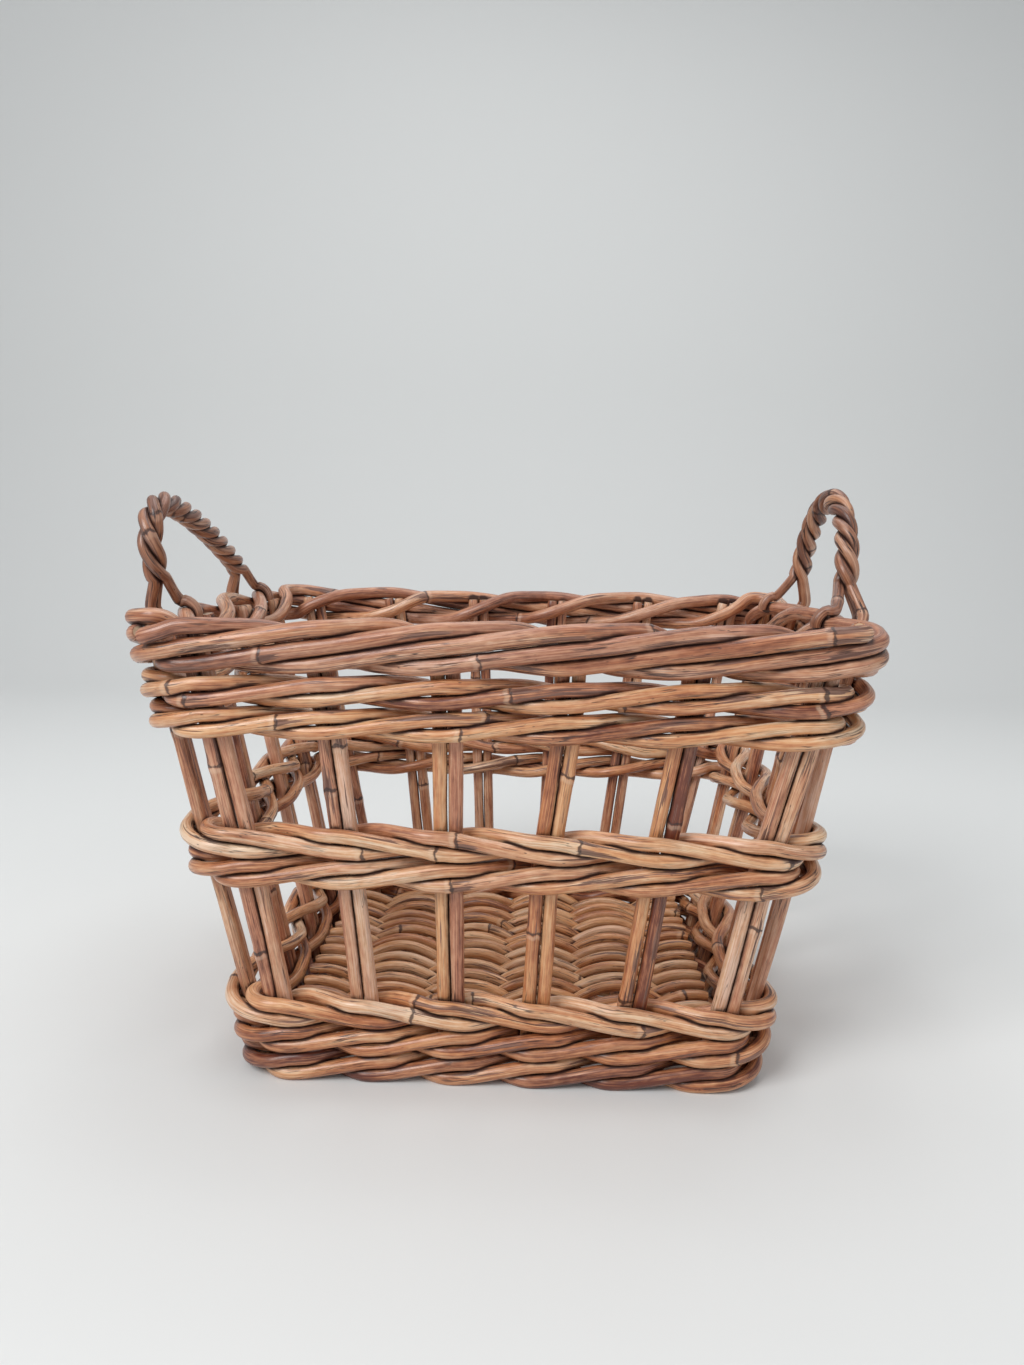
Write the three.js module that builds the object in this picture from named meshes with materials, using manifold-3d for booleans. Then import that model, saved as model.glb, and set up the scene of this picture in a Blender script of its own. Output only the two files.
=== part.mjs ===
// A rattan storage basket: twenty pairs of upright stakes, seven rows of three-rod waling,
// a four-rod rolled border, a twisted handle at each end, and a woven base on sticks.
// Millimetres, +Z up. The origin is on the ground under the middle of the basket, and X runs
// from handle to handle. The basket stands on its foot row.
import * as THREE from 'three';
import Module from 'manifold-3d';

const wasm = await Module();
wasm.setup();

// Body: the centre line of the stakes is a rounded rectangle that grows with height
const GROUND_HALF_LENGTH = 100.4;
const GROUND_HALF_WIDTH = 86.2;
const END_FLARE = 0.202;
const SIDE_FLARE = 0.08;
const CORNER_RADIUS = 12;
const RIM_HEIGHT = 191.6;
const MID_BAND_HEIGHT = 96.9;
const TOUCH_GAP = 0.4;
const ROD_GAP = 0.5;
const BORDER_ROD_GAP = 0.9;
const ROPE_ROD_GAP = 0.8;

// Rods
const STAKE_RADIUS = 2.9;
const WEAVER_RADIUS = 2.9;
const BORDER_ROD_RADIUS = 3.3;
const HANDLE_ROD_RADIUS = 1.75;
const BASE_STICK_RADIUS = 2.7;

// Stakes
const LONG_SIDE_STAKES = 6;
const END_STAKES = 4;
const STAKE_FOOT_CLEARANCE = 0.8;
const FOOT_WEAR = 0.4;
const STAKE_TOP_DROP = 5;

// Base
const BASE_CENTRE_HEIGHT = 14;
const BASE_STICKS = 6;
const BASE_STICK_INSET = 6;
const BASE_ROWS = 28;
const BASE_WEAVE_THICKNESS = 4.4;
const BASE_ROW_OVERLAP = 0.5;

// Handles: a rope of three rods in a leaning hoop over each end, whose feet spread apart from
// the rope's ends to the places where they meet the border
const HANDLE_FRONT_FOOT = -50;
const HANDLE_BACK_FOOT = 60;
const HANDLE_OUTSET = 8;
const HANDLE_FOOT_RISE = 12;
const STEPS_PER_TURN = 12;
const LEFT_HANDLE = {
  wall: 'left', side: -1, front: -57, back: 50, rise: 31.4, skew: -39, pinch: 0.3, lean: 2, turns: 4,
};
const RIGHT_HANDLE = {
  wall: 'right', side: 1, front: -30, back: 52, rise: 38.4, skew: -3, pinch: 0.1, lean: 2, turns: 4,
};

const WEAVER_SIDES = 5;
const BORDER_SIDES = 6;
const UP = new THREE.Vector3(0, 0, 1);
const OUTWARD_X = new THREE.Vector3(1, 0, 0);

// Colours of the dried cane, from pale core to smoked rod
const HONEY = 0xc99662;
const TAN = 0xb98258;
const ROSE_TAN = 0xb98a6c;
const UMBER = 0x8f6248;

function cane(colour) {
  return new THREE.MeshStandardMaterial({ color: colour, roughness: 0.62, metalness: 0 });
}

const basket = new THREE.Group();

function addPiece(name, geometry, colour) {
  const piece = new THREE.Mesh(geometry, cane(colour));
  piece.name = name;
  basket.add(piece);
}

// Wall: the plan at one height, walked counter-clockwise in steps of one stake
const STAKE_COUNT = 2 * (LONG_SIDE_STAKES + END_STAKES);
const CORNER_SETBACK = 2 * STAKE_RADIUS;
const CORNER_REACH = CORNER_RADIUS + CORNER_SETBACK;

function halfLength(z) {
  return GROUND_HALF_LENGTH + END_FLARE * z;
}

function halfWidth(z) {
  return GROUND_HALF_WIDTH + SIDE_FLARE * z;
}

// The four walls in order, each with the way along it, the way out of it and its first stake
const WALLS = [
  { name: 'front', along: [1, 0], out: [0, -1], stakes: LONG_SIDE_STAKES },
  { name: 'right', along: [0, 1], out: [1, 0], stakes: END_STAKES },
  { name: 'back', along: [-1, 0], out: [0, 1], stakes: LONG_SIDE_STAKES },
  { name: 'left', along: [0, -1], out: [-1, 0], stakes: END_STAKES },
];
let firstStake = 0;
for (const wall of WALLS) {
  wall.first = firstStake;
  firstStake += wall.stakes;
}

function wallOf(stake) {
  return WALLS.findLast((wall) => wall.first <= stake);
}

// Half of a wall's straight run between its end stakes, and the wall's distance from the middle
function wallSizes(wall, z) {
  const lengthwise = wall.along[0] !== 0;
  const halfRun = (lengthwise ? halfLength(z) : halfWidth(z)) - CORNER_REACH;
  const distance = lengthwise ? halfWidth(z) : halfLength(z);
  return { halfRun, distance };
}

// The point at walk position u and height z, moved outwards by offset
function wallPoint(u, z, offset) {
  const walk = ((u % STAKE_COUNT) + STAKE_COUNT) % STAKE_COUNT;
  const wall = wallOf(walk);
  const { halfRun, distance } = wallSizes(wall, z);
  const steps = walk - wall.first;
  const gaps = wall.stakes - 1;
  let along = -halfRun + (2 * halfRun * Math.min(steps, gaps)) / gaps;
  let away = distance + offset;
  if (steps > gaps) {
    const arc = (CORNER_RADIUS * Math.PI) / 2;
    const travelled = (steps - gaps) * (arc + 2 * CORNER_SETBACK);
    const angle = THREE.MathUtils.clamp((travelled - CORNER_SETBACK) / CORNER_RADIUS, 0, Math.PI / 2);
    const bend = CORNER_RADIUS + offset;
    along += Math.min(travelled, CORNER_SETBACK) + bend * Math.sin(angle);
    away -= bend * (1 - Math.cos(angle)) + Math.max(travelled - CORNER_SETBACK - arc, 0);
  }
  const [ax, ay] = wall.along;
  const [ox, oy] = wall.out;
  return new THREE.Vector3(along * ax + away * ox, along * ay + away * oy, z);
}

// A closed mesh through rings of points, clockwise as seen along the way from ring to ring
function skin(rings) {
  const sides = rings[0].length;
  const index = [];
  for (let i = 0; i < rings.length - 1; i += 1) {
    const here = i * sides;
    const next = here + sides;
    for (let k = 0; k < sides; k += 1) {
      const m = (k + 1) % sides;
      index.push(here + k, here + m, next + m, here + k, next + m, next + k);
    }
  }
  const last = (rings.length - 1) * sides;
  for (const [a, b, c] of capFaces(rings[0])) {
    index.push(a, c, b, last + a, last + b, last + c);
  }
  const positions = rings.flat().flatMap((p) => [p.x, p.y, p.z]);
  const geometry = new THREE.BufferGeometry();
  geometry.setAttribute('position', new THREE.Float32BufferAttribute(positions, 3));
  geometry.setIndex(index);
  return geometry;
}

// Triangles across a flat ring, each in the ring's own order
function capFaces(ring) {
  const x = ring[1].clone().sub(ring[0]).normalize();
  const middle = ring.reduce((sum, p) => sum.add(p), new THREE.Vector3()).divideScalar(ring.length);
  const y = middle.sub(ring[0]);
  y.addScaledVector(x, -y.dot(x)).normalize();
  const outline = ring.map((p) => {
    const fromFirst = p.clone().sub(ring[0]);
    return new THREE.Vector2(fromFirst.dot(x), fromFirst.dot(y));
  });
  const clockwise = THREE.ShapeUtils.isClockWise(outline);
  return THREE.ShapeUtils.triangulateShape(outline, []).map((face) => {
    const sameWay = THREE.ShapeUtils.isClockWise(face.map((i) => outline[i])) === clockwise;
    return sameWay ? face : face.toReversed();
  });
}

// A rod along a path; the reference direction is never parallel to it
function rod(points, radius, sides, reference) {
  const rings = points.map((centre, i) => {
    const before = points[Math.max(i - 1, 0)];
    const after = points[Math.min(i + 1, points.length - 1)];
    const along = after.clone().sub(before).normalize();
    const side = new THREE.Vector3().crossVectors(along, reference).normalize();
    const top = new THREE.Vector3().crossVectors(side, along);
    return Array.from({ length: sides }, (unused, k) => {
      const angle = Math.PI / 2 - (2 * Math.PI * k) / sides;
      return centre
        .clone()
        .addScaledVector(side, radius * Math.cos(angle))
        .addScaledVector(top, radius * Math.sin(angle));
    });
  });
  return skin(rings);
}

// Solids for cutting and joining
function toSolid(geometry) {
  return new wasm.Manifold(new wasm.Mesh({
    numProp: 3,
    vertProperties: geometry.attributes.position.array,
    triVerts: new Uint32Array(geometry.index.array),
  }));
}

function toGeometry(solid) {
  const mesh = solid.getMesh();
  const geometry = new THREE.BufferGeometry();
  geometry.setAttribute('position', new THREE.BufferAttribute(mesh.vertProperties, 3));
  geometry.setIndex(new THREE.BufferAttribute(mesh.triVerts, 1));
  return geometry;
}

// Stakes: two rods side by side in each place, from the foot up into the border
const STAKE_SECTION = [
  [0, 0.35], [0.5, 0.87], [1.5, 0.87], [2, 0], [1.5, -0.87], [0.5, -0.87],
  [0, -0.35], [-0.5, -0.87], [-1.5, -0.87], [-2, 0], [-1.5, 0.87], [-0.5, 0.87],
];

function stakePair(stake) {
  const wall = wallOf(stake);
  const along = new THREE.Vector3(...wall.along, 0);
  const out = new THREE.Vector3(...wall.out, 0);
  const heights = [STAKE_FOOT_CLEARANCE, RIM_HEIGHT - STAKE_TOP_DROP];
  const rings = heights.map((z) => STAKE_SECTION.map(([a, o]) => wallPoint(stake, z, 0)
    .addScaledVector(along, a * STAKE_RADIUS)
    .addScaledVector(out, o * STAKE_RADIUS)));
  return skin(rings);
}

for (let stake = 0; stake < STAKE_COUNT; stake += 1) {
  const wall = wallOf(stake);
  const place = stake - wall.first + 1;
  addPiece(`stake_pair_${wall.name}_${place}`, stakePair(stake), stake % 2 ? TAN : ROSE_TAN);
}

// A wale of several rods: each goes behind one stake and in front of the others, then changes
// level, so the rods lie above each other outside and cross the wall only between stakes.
// The numbers are shares of the gap between two stakes.
const LEAVES_INSIDE = 0.2;
const REACHES_OUTSIDE = 0.8;
const LEVEL_CHANGE_START = 0.3;
const LEVEL_CHANGE_END = 0.7;
const CORNER_MIDDLE = 0.5;
const END_SHARE = 0.01;

// The turning points of a rod over one period, from the stake that it goes behind
function turningPoints({ rods, rising }) {
  const levels = rods - 1;
  const level = (step) => (rising ? step : levels - 1 - step) - (levels - 1) / 2;
  const points = [{ at: LEAVES_INSIDE, side: -1, level: level(0) }];
  for (let step = 0; step < levels; step += 1) {
    const start = step === 0 ? REACHES_OUTSIDE : step + LEVEL_CHANGE_END;
    const end = step === levels - 1 ? levels + LEAVES_INSIDE : step + 1 + LEVEL_CHANGE_START;
    points.push({ at: start, side: 1, level: level(step) });
    points.push({ at: end, side: 1, level: level(step) });
  }
  points.push({ at: levels + REACHES_OUTSIDE, side: -1, level: level(levels - 1) });
  points.push({ at: rods + LEAVES_INSIDE, side: -1, level: level(0) });
  return points;
}

// The side of the wall and the level of a rod at a phase, between its turning points
function rodState(turns, rods, phase) {
  const wrapped = ((phase - LEAVES_INSIDE) % rods + rods) % rods + LEAVES_INSIDE;
  const after = Math.max(turns.findIndex((turn) => turn.at >= wrapped), 1);
  const [a, b] = [turns[after - 1], turns[after]];
  const share = (wrapped - a.at) / (b.at - a.at);
  return {
    side: THREE.MathUtils.lerp(a.side, b.side, share),
    level: THREE.MathUtils.lerp(a.level, b.level, share),
  };
}

// The path of the rod that starts behind a stake and ends where another rod of the row starts
function walePath(row, startStake) {
  const { rods } = row;
  const turns = turningPoints(row);
  const laps = Math.ceil((STAKE_COUNT - startStake) / rods);
  const from = startStake + END_SHARE;
  const to = startStake + rods * laps - END_SHARE;
  const walks = [from, to];
  for (let lap = 0; lap < laps; lap += 1) {
    walks.push(...turns.slice(0, -1).map((turn) => startStake + lap * rods + turn.at));
  }
  for (const wall of WALLS) {
    const corner = wall.first + wall.stakes - 1 + CORNER_MIDDLE;
    walks.push(corner, corner + STAKE_COUNT);
  }
  const ordered = walks.filter((walk) => walk >= from && walk <= to).sort((a, b) => a - b);
  return ordered.map((walk) => {
    const { side, level } = rodState(turns, rods, walk - startStake);
    return wallPoint(walk, row.centre + level * row.levelStep, side * row.offset);
  });
}

// Heights of the rows, stacked up from the ground, around the middle and down from the rim
const LEVEL_STEP = 2 * WEAVER_RADIUS + ROD_GAP;
const ROW_HEIGHT = LEVEL_STEP + 2 * WEAVER_RADIUS;
const ROW_PITCH = ROW_HEIGHT + TOUCH_GAP;
const BORDER_STEP = 2 * BORDER_ROD_RADIUS + BORDER_ROD_GAP;
const BORDER_HALF_HEIGHT = BORDER_STEP + BORDER_ROD_RADIUS;
const BORDER_CENTRE = RIM_HEIGHT - BORDER_HALF_HEIGHT;
const FLAT_BELOW_ROD = WEAVER_RADIUS * Math.cos(Math.PI / WEAVER_SIDES);
const FOOT_CENTRE = LEVEL_STEP / 2 + FLAT_BELOW_ROD - FOOT_WEAR;
const RIM_ROW_CENTRE = BORDER_CENTRE - BORDER_HALF_HEIGHT - TOUCH_GAP - ROW_HEIGHT / 2;
const WALE_OFFSET = STAKE_RADIUS + WEAVER_RADIUS + TOUCH_GAP;
const BORDER_OFFSET = STAKE_RADIUS + BORDER_ROD_RADIUS + TOUCH_GAP;

function wale(name, centre, rising) {
  return { name, centre, rising, rods: 3, levelStep: LEVEL_STEP, offset: WALE_OFFSET };
}

const WALES = [
  wale('foot_wale', FOOT_CENTRE, true),
  wale('lower_base_wale', FOOT_CENTRE + ROW_PITCH, true),
  wale('upper_base_wale', FOOT_CENTRE + 2 * ROW_PITCH, false),
  wale('lower_middle_wale', MID_BAND_HEIGHT - ROW_PITCH / 2, true),
  wale('upper_middle_wale', MID_BAND_HEIGHT + ROW_PITCH / 2, false),
  wale('lower_rim_wale', RIM_ROW_CENTRE - ROW_PITCH, true),
  wale('upper_rim_wale', RIM_ROW_CENTRE, true),
];

const BORDER = {
  name: 'rim_border',
  centre: BORDER_CENTRE,
  rising: true,
  rods: 4,
  levelStep: BORDER_STEP,
  offset: BORDER_OFFSET,
};

const ROD_COLOURS = [HONEY, TAN, UMBER, ROSE_TAN];

// Everything below the ground, which the foot row is worn down to
function groundBlock() {
  const reach = 2 * GROUND_HALF_LENGTH;
  const rings = [-reach, reach].map((x) => [[-reach, 0], [-reach, -reach], [reach, -reach], [reach, 0]]
    .map(([y, z]) => new THREE.Vector3(x, y, z)));
  return toSolid(skin(rings));
}

const GROUND = groundBlock();

function addRow(row, radius, sides) {
  for (let k = 0; k < row.rods; k += 1) {
    const round = rod(walePath(row, k), radius, sides, UP);
    const worn = row.centre === FOOT_CENTRE ? toGeometry(toSolid(round).subtract(GROUND)) : round;
    addPiece(`${row.name}_rod_${k + 1}`, worn, ROD_COLOURS[k]);
  }
}

WALES.forEach((row) => addRow(row, WEAVER_RADIUS, WEAVER_SIDES));
addRow(BORDER, BORDER_ROD_RADIUS, BORDER_SIDES);

// Handles: three rods twisted left-handed about a hoop; at each foot two of them run down
// outside the border, and one goes over the border's top rod and down behind it
const ROPE_OFFSET = (2 * HANDLE_ROD_RADIUS + ROPE_ROD_GAP)
  / (Math.sqrt(3) * Math.cos(Math.PI / STEPS_PER_TURN));
const LEG_END_HEIGHT = BORDER_CENTRE - BORDER_HALF_HEIGHT + HANDLE_ROD_RADIUS;
const TOP_ROD_HEIGHT = BORDER_CENTRE + BORDER_STEP;
const ROD_CONTACT = BORDER_ROD_RADIUS + HANDLE_ROD_RADIUS + TOUCH_GAP;
const WRAP_RADIUS = ROD_CONTACT / Math.cos(Math.PI / 8);
const WRAP_ANGLES = [90, 45, 0];
const LEG_SPREAD = HANDLE_ROD_RADIUS + ROPE_ROD_GAP / 2;
const HANDLE_RODS = [
  { name: 'outer_rod_1', angle: -60, outer: true, inward: LEG_SPREAD },
  { name: 'outer_rod_2', angle: 60, outer: true, inward: -LEG_SPREAD },
  { name: 'inner_rod', angle: 180, outer: false, inward: 0 },
];

// The middle of a handle's rope, from front to back: a half ellipse, leaning by its skew and
// drawn in towards its top by its pinch
class Hoop extends THREE.Curve {
  constructor(handle) {
    super();
    this.handle = handle;
  }

  getPoint(share) {
    const { side, front, back, rise, skew, pinch, lean } = this.handle;
    const angle = Math.PI * (1 - share);
    const lift = Math.sin(angle);
    const spread = (back - front) / 2 * Math.cos(angle) * (1 - pinch * lift);
    return new THREE.Vector3(
      side * (halfLength(RIM_HEIGHT) + HANDLE_OUTSET + lean * lift),
      (front + back) / 2 + spread + skew * lift,
      RIM_HEIGHT + HANDLE_FOOT_RISE + rise * lift,
    );
  }
}

// A point beside the handle's end wall, at a distance out of its stake line
function besideWall(handle, out, y, z) {
  return new THREE.Vector3(handle.side * (halfLength(z) + out), y, z);
}

// How far out of the stake line the border's top rod lies at a place along the end wall
function topRodOffset(handle, y) {
  const wall = WALLS.find(({ name }) => name === handle.wall);
  const { halfRun } = wallSizes(wall, TOP_ROD_HEIGHT);
  const walk = wall.first + ((y * wall.along[1]) / halfRun + 1) * (wall.stakes - 1) / 2;
  const turns = turningPoints(BORDER);
  const states = ROD_COLOURS.map((unused, k) => rodState(turns, BORDER.rods, walk - k));
  const top = states.reduce((best, state) => (state.level > best.level ? state : best));
  return top.side * BORDER_OFFSET;
}

// The way down of one rod from an end of the rope to a foot of the handle, where inwards is
// towards the other foot; the outer rods slant evenly down to theirs
function legPoints(handle, handleRod, ropeEnd, foot) {
  const y = foot - Math.sign(foot) * handleRod.inward;
  if (handleRod.outer) {
    const out = BORDER_OFFSET + ROD_CONTACT;
    const halfWay = y + (ropeEnd - foot) / 2;
    return [
      besideWall(handle, out, halfWay, TOP_ROD_HEIGHT),
      besideWall(handle, out, y, LEG_END_HEIGHT),
    ];
  }
  const topRod = topRodOffset(handle, y);
  const slope = topRodOffset(handle, y + 1) - topRod;
  return WRAP_ANGLES.map((degrees) => {
    const angle = THREE.MathUtils.degToRad(degrees);
    const out = topRod - WRAP_RADIUS * Math.hypot(1, slope) * Math.cos(angle);
    return besideWall(handle, out, y, TOP_ROD_HEIGHT + WRAP_RADIUS * Math.sin(angle));
  });
}

function handleRodPath(handle, handleRod) {
  const hoop = new Hoop(handle);
  const steps = handle.turns * STEPS_PER_TURN;
  const start = THREE.MathUtils.degToRad(handleRod.angle) * handle.side;
  const rope = Array.from({ length: steps + 1 }, (unused, i) => {
    const share = i / steps;
    const along = hoop.getTangentAt(share);
    const out = OUTWARD_X.clone().multiplyScalar(handle.side);
    out.addScaledVector(along, -out.dot(along)).normalize();
    const across = new THREE.Vector3().crossVectors(along, out);
    const angle = (2 * Math.PI * i) / STEPS_PER_TURN + start;
    return hoop
      .getPointAt(share)
      .addScaledVector(out, ROPE_OFFSET * Math.cos(angle))
      .addScaledVector(across, -ROPE_OFFSET * Math.sin(angle));
  });
  const front = legPoints(handle, handleRod, handle.front, HANDLE_FRONT_FOOT).toReversed();
  return [...front, ...rope, ...legPoints(handle, handleRod, handle.back, HANDLE_BACK_FOOT)];
}

for (const handle of [LEFT_HANDLE, RIGHT_HANDLE]) {
  for (const handleRod of HANDLE_RODS) {
    const path = handleRodPath(handle, handleRod);
    const pieceName = `${handle.wall}_handle_${handleRod.name}`;
    addPiece(pieceName, rod(path, HANDLE_ROD_RADIUS, WEAVER_SIDES, OUTWARD_X), UMBER);
  }
}

// Base: sticks from front to back, and rows woven over and under them that lie side by side.
// A row slopes away from its crest, so the crest is a little higher than the stick alone needs.
const CREST_ALLOWANCE = 1.03;
const INNER_ROD_REACH = WALE_OFFSET + WEAVER_RADIUS + TOUCH_GAP;
const WEAVE_CLEARANCE = BASE_STICK_RADIUS + TOUCH_GAP + BASE_WEAVE_THICKNESS / 2;
const WEAVE_AMPLITUDE = CREST_ALLOWANCE * WEAVE_CLEARANCE;
const BASE_LOWEST = BASE_CENTRE_HEIGHT - WEAVE_AMPLITUDE - BASE_WEAVE_THICKNESS / 2;
const BASE_HALF_LENGTH = halfLength(BASE_LOWEST) - INNER_ROD_REACH;
const BASE_HALF_WIDTH = halfWidth(0) - INNER_ROD_REACH;
const FIRST_STICK = BASE_STICK_INSET - BASE_HALF_LENGTH;
const STICK_PITCH = (-2 * FIRST_STICK) / (BASE_STICKS - 1);
const BASE_ROW_PITCH = (2 * BASE_HALF_WIDTH - BASE_ROW_OVERLAP) / BASE_ROWS;

for (let stick = 0; stick < BASE_STICKS; stick += 1) {
  const path = [-BASE_HALF_WIDTH, BASE_HALF_WIDTH]
    .map((y) => new THREE.Vector3(FIRST_STICK + stick * STICK_PITCH, y, BASE_CENTRE_HEIGHT));
  addPiece(`base_stick_${stick + 1}`, rod(path, BASE_STICK_RADIUS, BORDER_SIDES, UP), UMBER);
}

// The places along a row where its height is set: its ends and three for each stick pitch
function rowPlaces() {
  const steps = 3 * (BASE_STICKS - 1);
  const inner = Array.from({ length: steps + 1 }, (unused, i) => FIRST_STICK + (i * STICK_PITCH) / 3);
  return [-BASE_HALF_LENGTH, ...inner, BASE_HALF_LENGTH];
}

function baseRow(row) {
  const near = row * BASE_ROW_PITCH - BASE_HALF_WIDTH;
  const far = near + BASE_ROW_PITCH + BASE_ROW_OVERLAP;
  const half = BASE_WEAVE_THICKNESS / 2;
  const over = row % 2 ? -WEAVE_AMPLITUDE : WEAVE_AMPLITUDE;
  const rings = rowPlaces().map((x) => {
    const z = BASE_CENTRE_HEIGHT + over * Math.cos((Math.PI * (x - FIRST_STICK)) / STICK_PITCH);
    return [[near, z + half], [near, z - half], [far, z - half], [far, z + half]]
      .map(([ringY, ringZ]) => new THREE.Vector3(x, ringY, ringZ));
  });
  return skin(rings);
}

const baseRows = Array.from({ length: BASE_ROWS }, (unused, row) => toSolid(baseRow(row)));
addPiece('base_weave', toGeometry(baseRows.reduce((all, row) => all.add(row))), HONEY);

export default basket;
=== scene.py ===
"""Dress a rattan storage basket in natural cane.

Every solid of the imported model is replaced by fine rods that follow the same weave. The rods'
paths come from the weave's own rules, are pressed apart where they touch, and are then swept
into cane by one Geometry Nodes tree. Metres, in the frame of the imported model.
"""

import logging
import math
import random
from collections.abc import Iterable, Sequence
from dataclasses import dataclass, field
from enum import Enum
from typing import Any

import bpy
import numpy as np
from mathutils import Matrix, Vector
from mathutils.kdtree import KDTree


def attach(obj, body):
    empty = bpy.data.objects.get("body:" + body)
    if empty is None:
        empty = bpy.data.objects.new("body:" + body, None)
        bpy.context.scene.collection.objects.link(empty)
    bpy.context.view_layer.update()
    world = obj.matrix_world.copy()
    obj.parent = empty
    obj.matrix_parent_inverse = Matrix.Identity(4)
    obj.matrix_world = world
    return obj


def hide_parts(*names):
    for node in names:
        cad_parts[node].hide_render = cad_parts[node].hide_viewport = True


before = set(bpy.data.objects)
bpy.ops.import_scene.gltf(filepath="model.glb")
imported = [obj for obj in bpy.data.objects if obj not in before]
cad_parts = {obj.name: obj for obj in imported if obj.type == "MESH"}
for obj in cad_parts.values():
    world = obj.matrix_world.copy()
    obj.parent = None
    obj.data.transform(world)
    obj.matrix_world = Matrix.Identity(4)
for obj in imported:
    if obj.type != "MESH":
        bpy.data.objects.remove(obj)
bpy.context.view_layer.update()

LOG = logging.getLogger("basket")
MM = 0.001
Colour = tuple[float, float, float]


def srgb(red: int, green: int, blue: int) -> Colour:
    """Return a screen colour as a linear one.

    Args:
        red: The red channel, from 0 to 255.
        green: The green channel, likewise.
        blue: The blue channel, likewise.

    Returns:
        The three linear channels, from 0 to 1.
    """
    def linear(value: int) -> float:
        """Return one channel without its screen curve."""
        share = value / 255
        return share / 12.92 if share <= 0.04045 else ((share + 0.055) / 1.055) ** 2.4
    return linear(red), linear(green), linear(blue)


def placed(name: str, data: bpy.types.ID) -> bpy.types.Object:
    """Put a new object into the scene.

    Args:
        name: Its name.
        data: Its mesh, lamp or camera.

    Returns:
        The object, at the origin.
    """
    made = bpy.data.objects.new(name, data)
    bpy.context.scene.collection.objects.link(made)
    return made


# Node graphs


class Wire:
    """A node's output that can be used in Python arithmetic."""

    def __init__(self, graph: "Graph", socket: bpy.types.NodeSocket) -> None:
        """Hold a socket and the graph that its Math nodes go into."""
        self.graph = graph
        self.socket = socket

    def __add__(self, other: "Wire | float") -> "Wire":
        """Return the sum."""
        return self.graph.math("ADD", self, other)

    def __radd__(self, other: float) -> "Wire":
        """Return the sum with a number in front."""
        return self.graph.math("ADD", other, self)

    def __sub__(self, other: "Wire | float") -> "Wire":
        """Return the difference."""
        return self.graph.math("SUBTRACT", self, other)

    def __rsub__(self, other: float) -> "Wire":
        """Return a number less this value."""
        return self.graph.math("SUBTRACT", other, self)

    def __mul__(self, other: "Wire | float") -> "Wire":
        """Return the product."""
        return self.graph.math("MULTIPLY", self, other)

    def __rmul__(self, other: float) -> "Wire":
        """Return the product with a number in front."""
        return self.graph.math("MULTIPLY", other, self)

    def __truediv__(self, other: "Wire | float") -> "Wire":
        """Return the quotient."""
        return self.graph.math("DIVIDE", self, other)

    def __rtruediv__(self, other: float) -> "Wire":
        """Return a number divided by this value."""
        return self.graph.math("DIVIDE", other, self)


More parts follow.
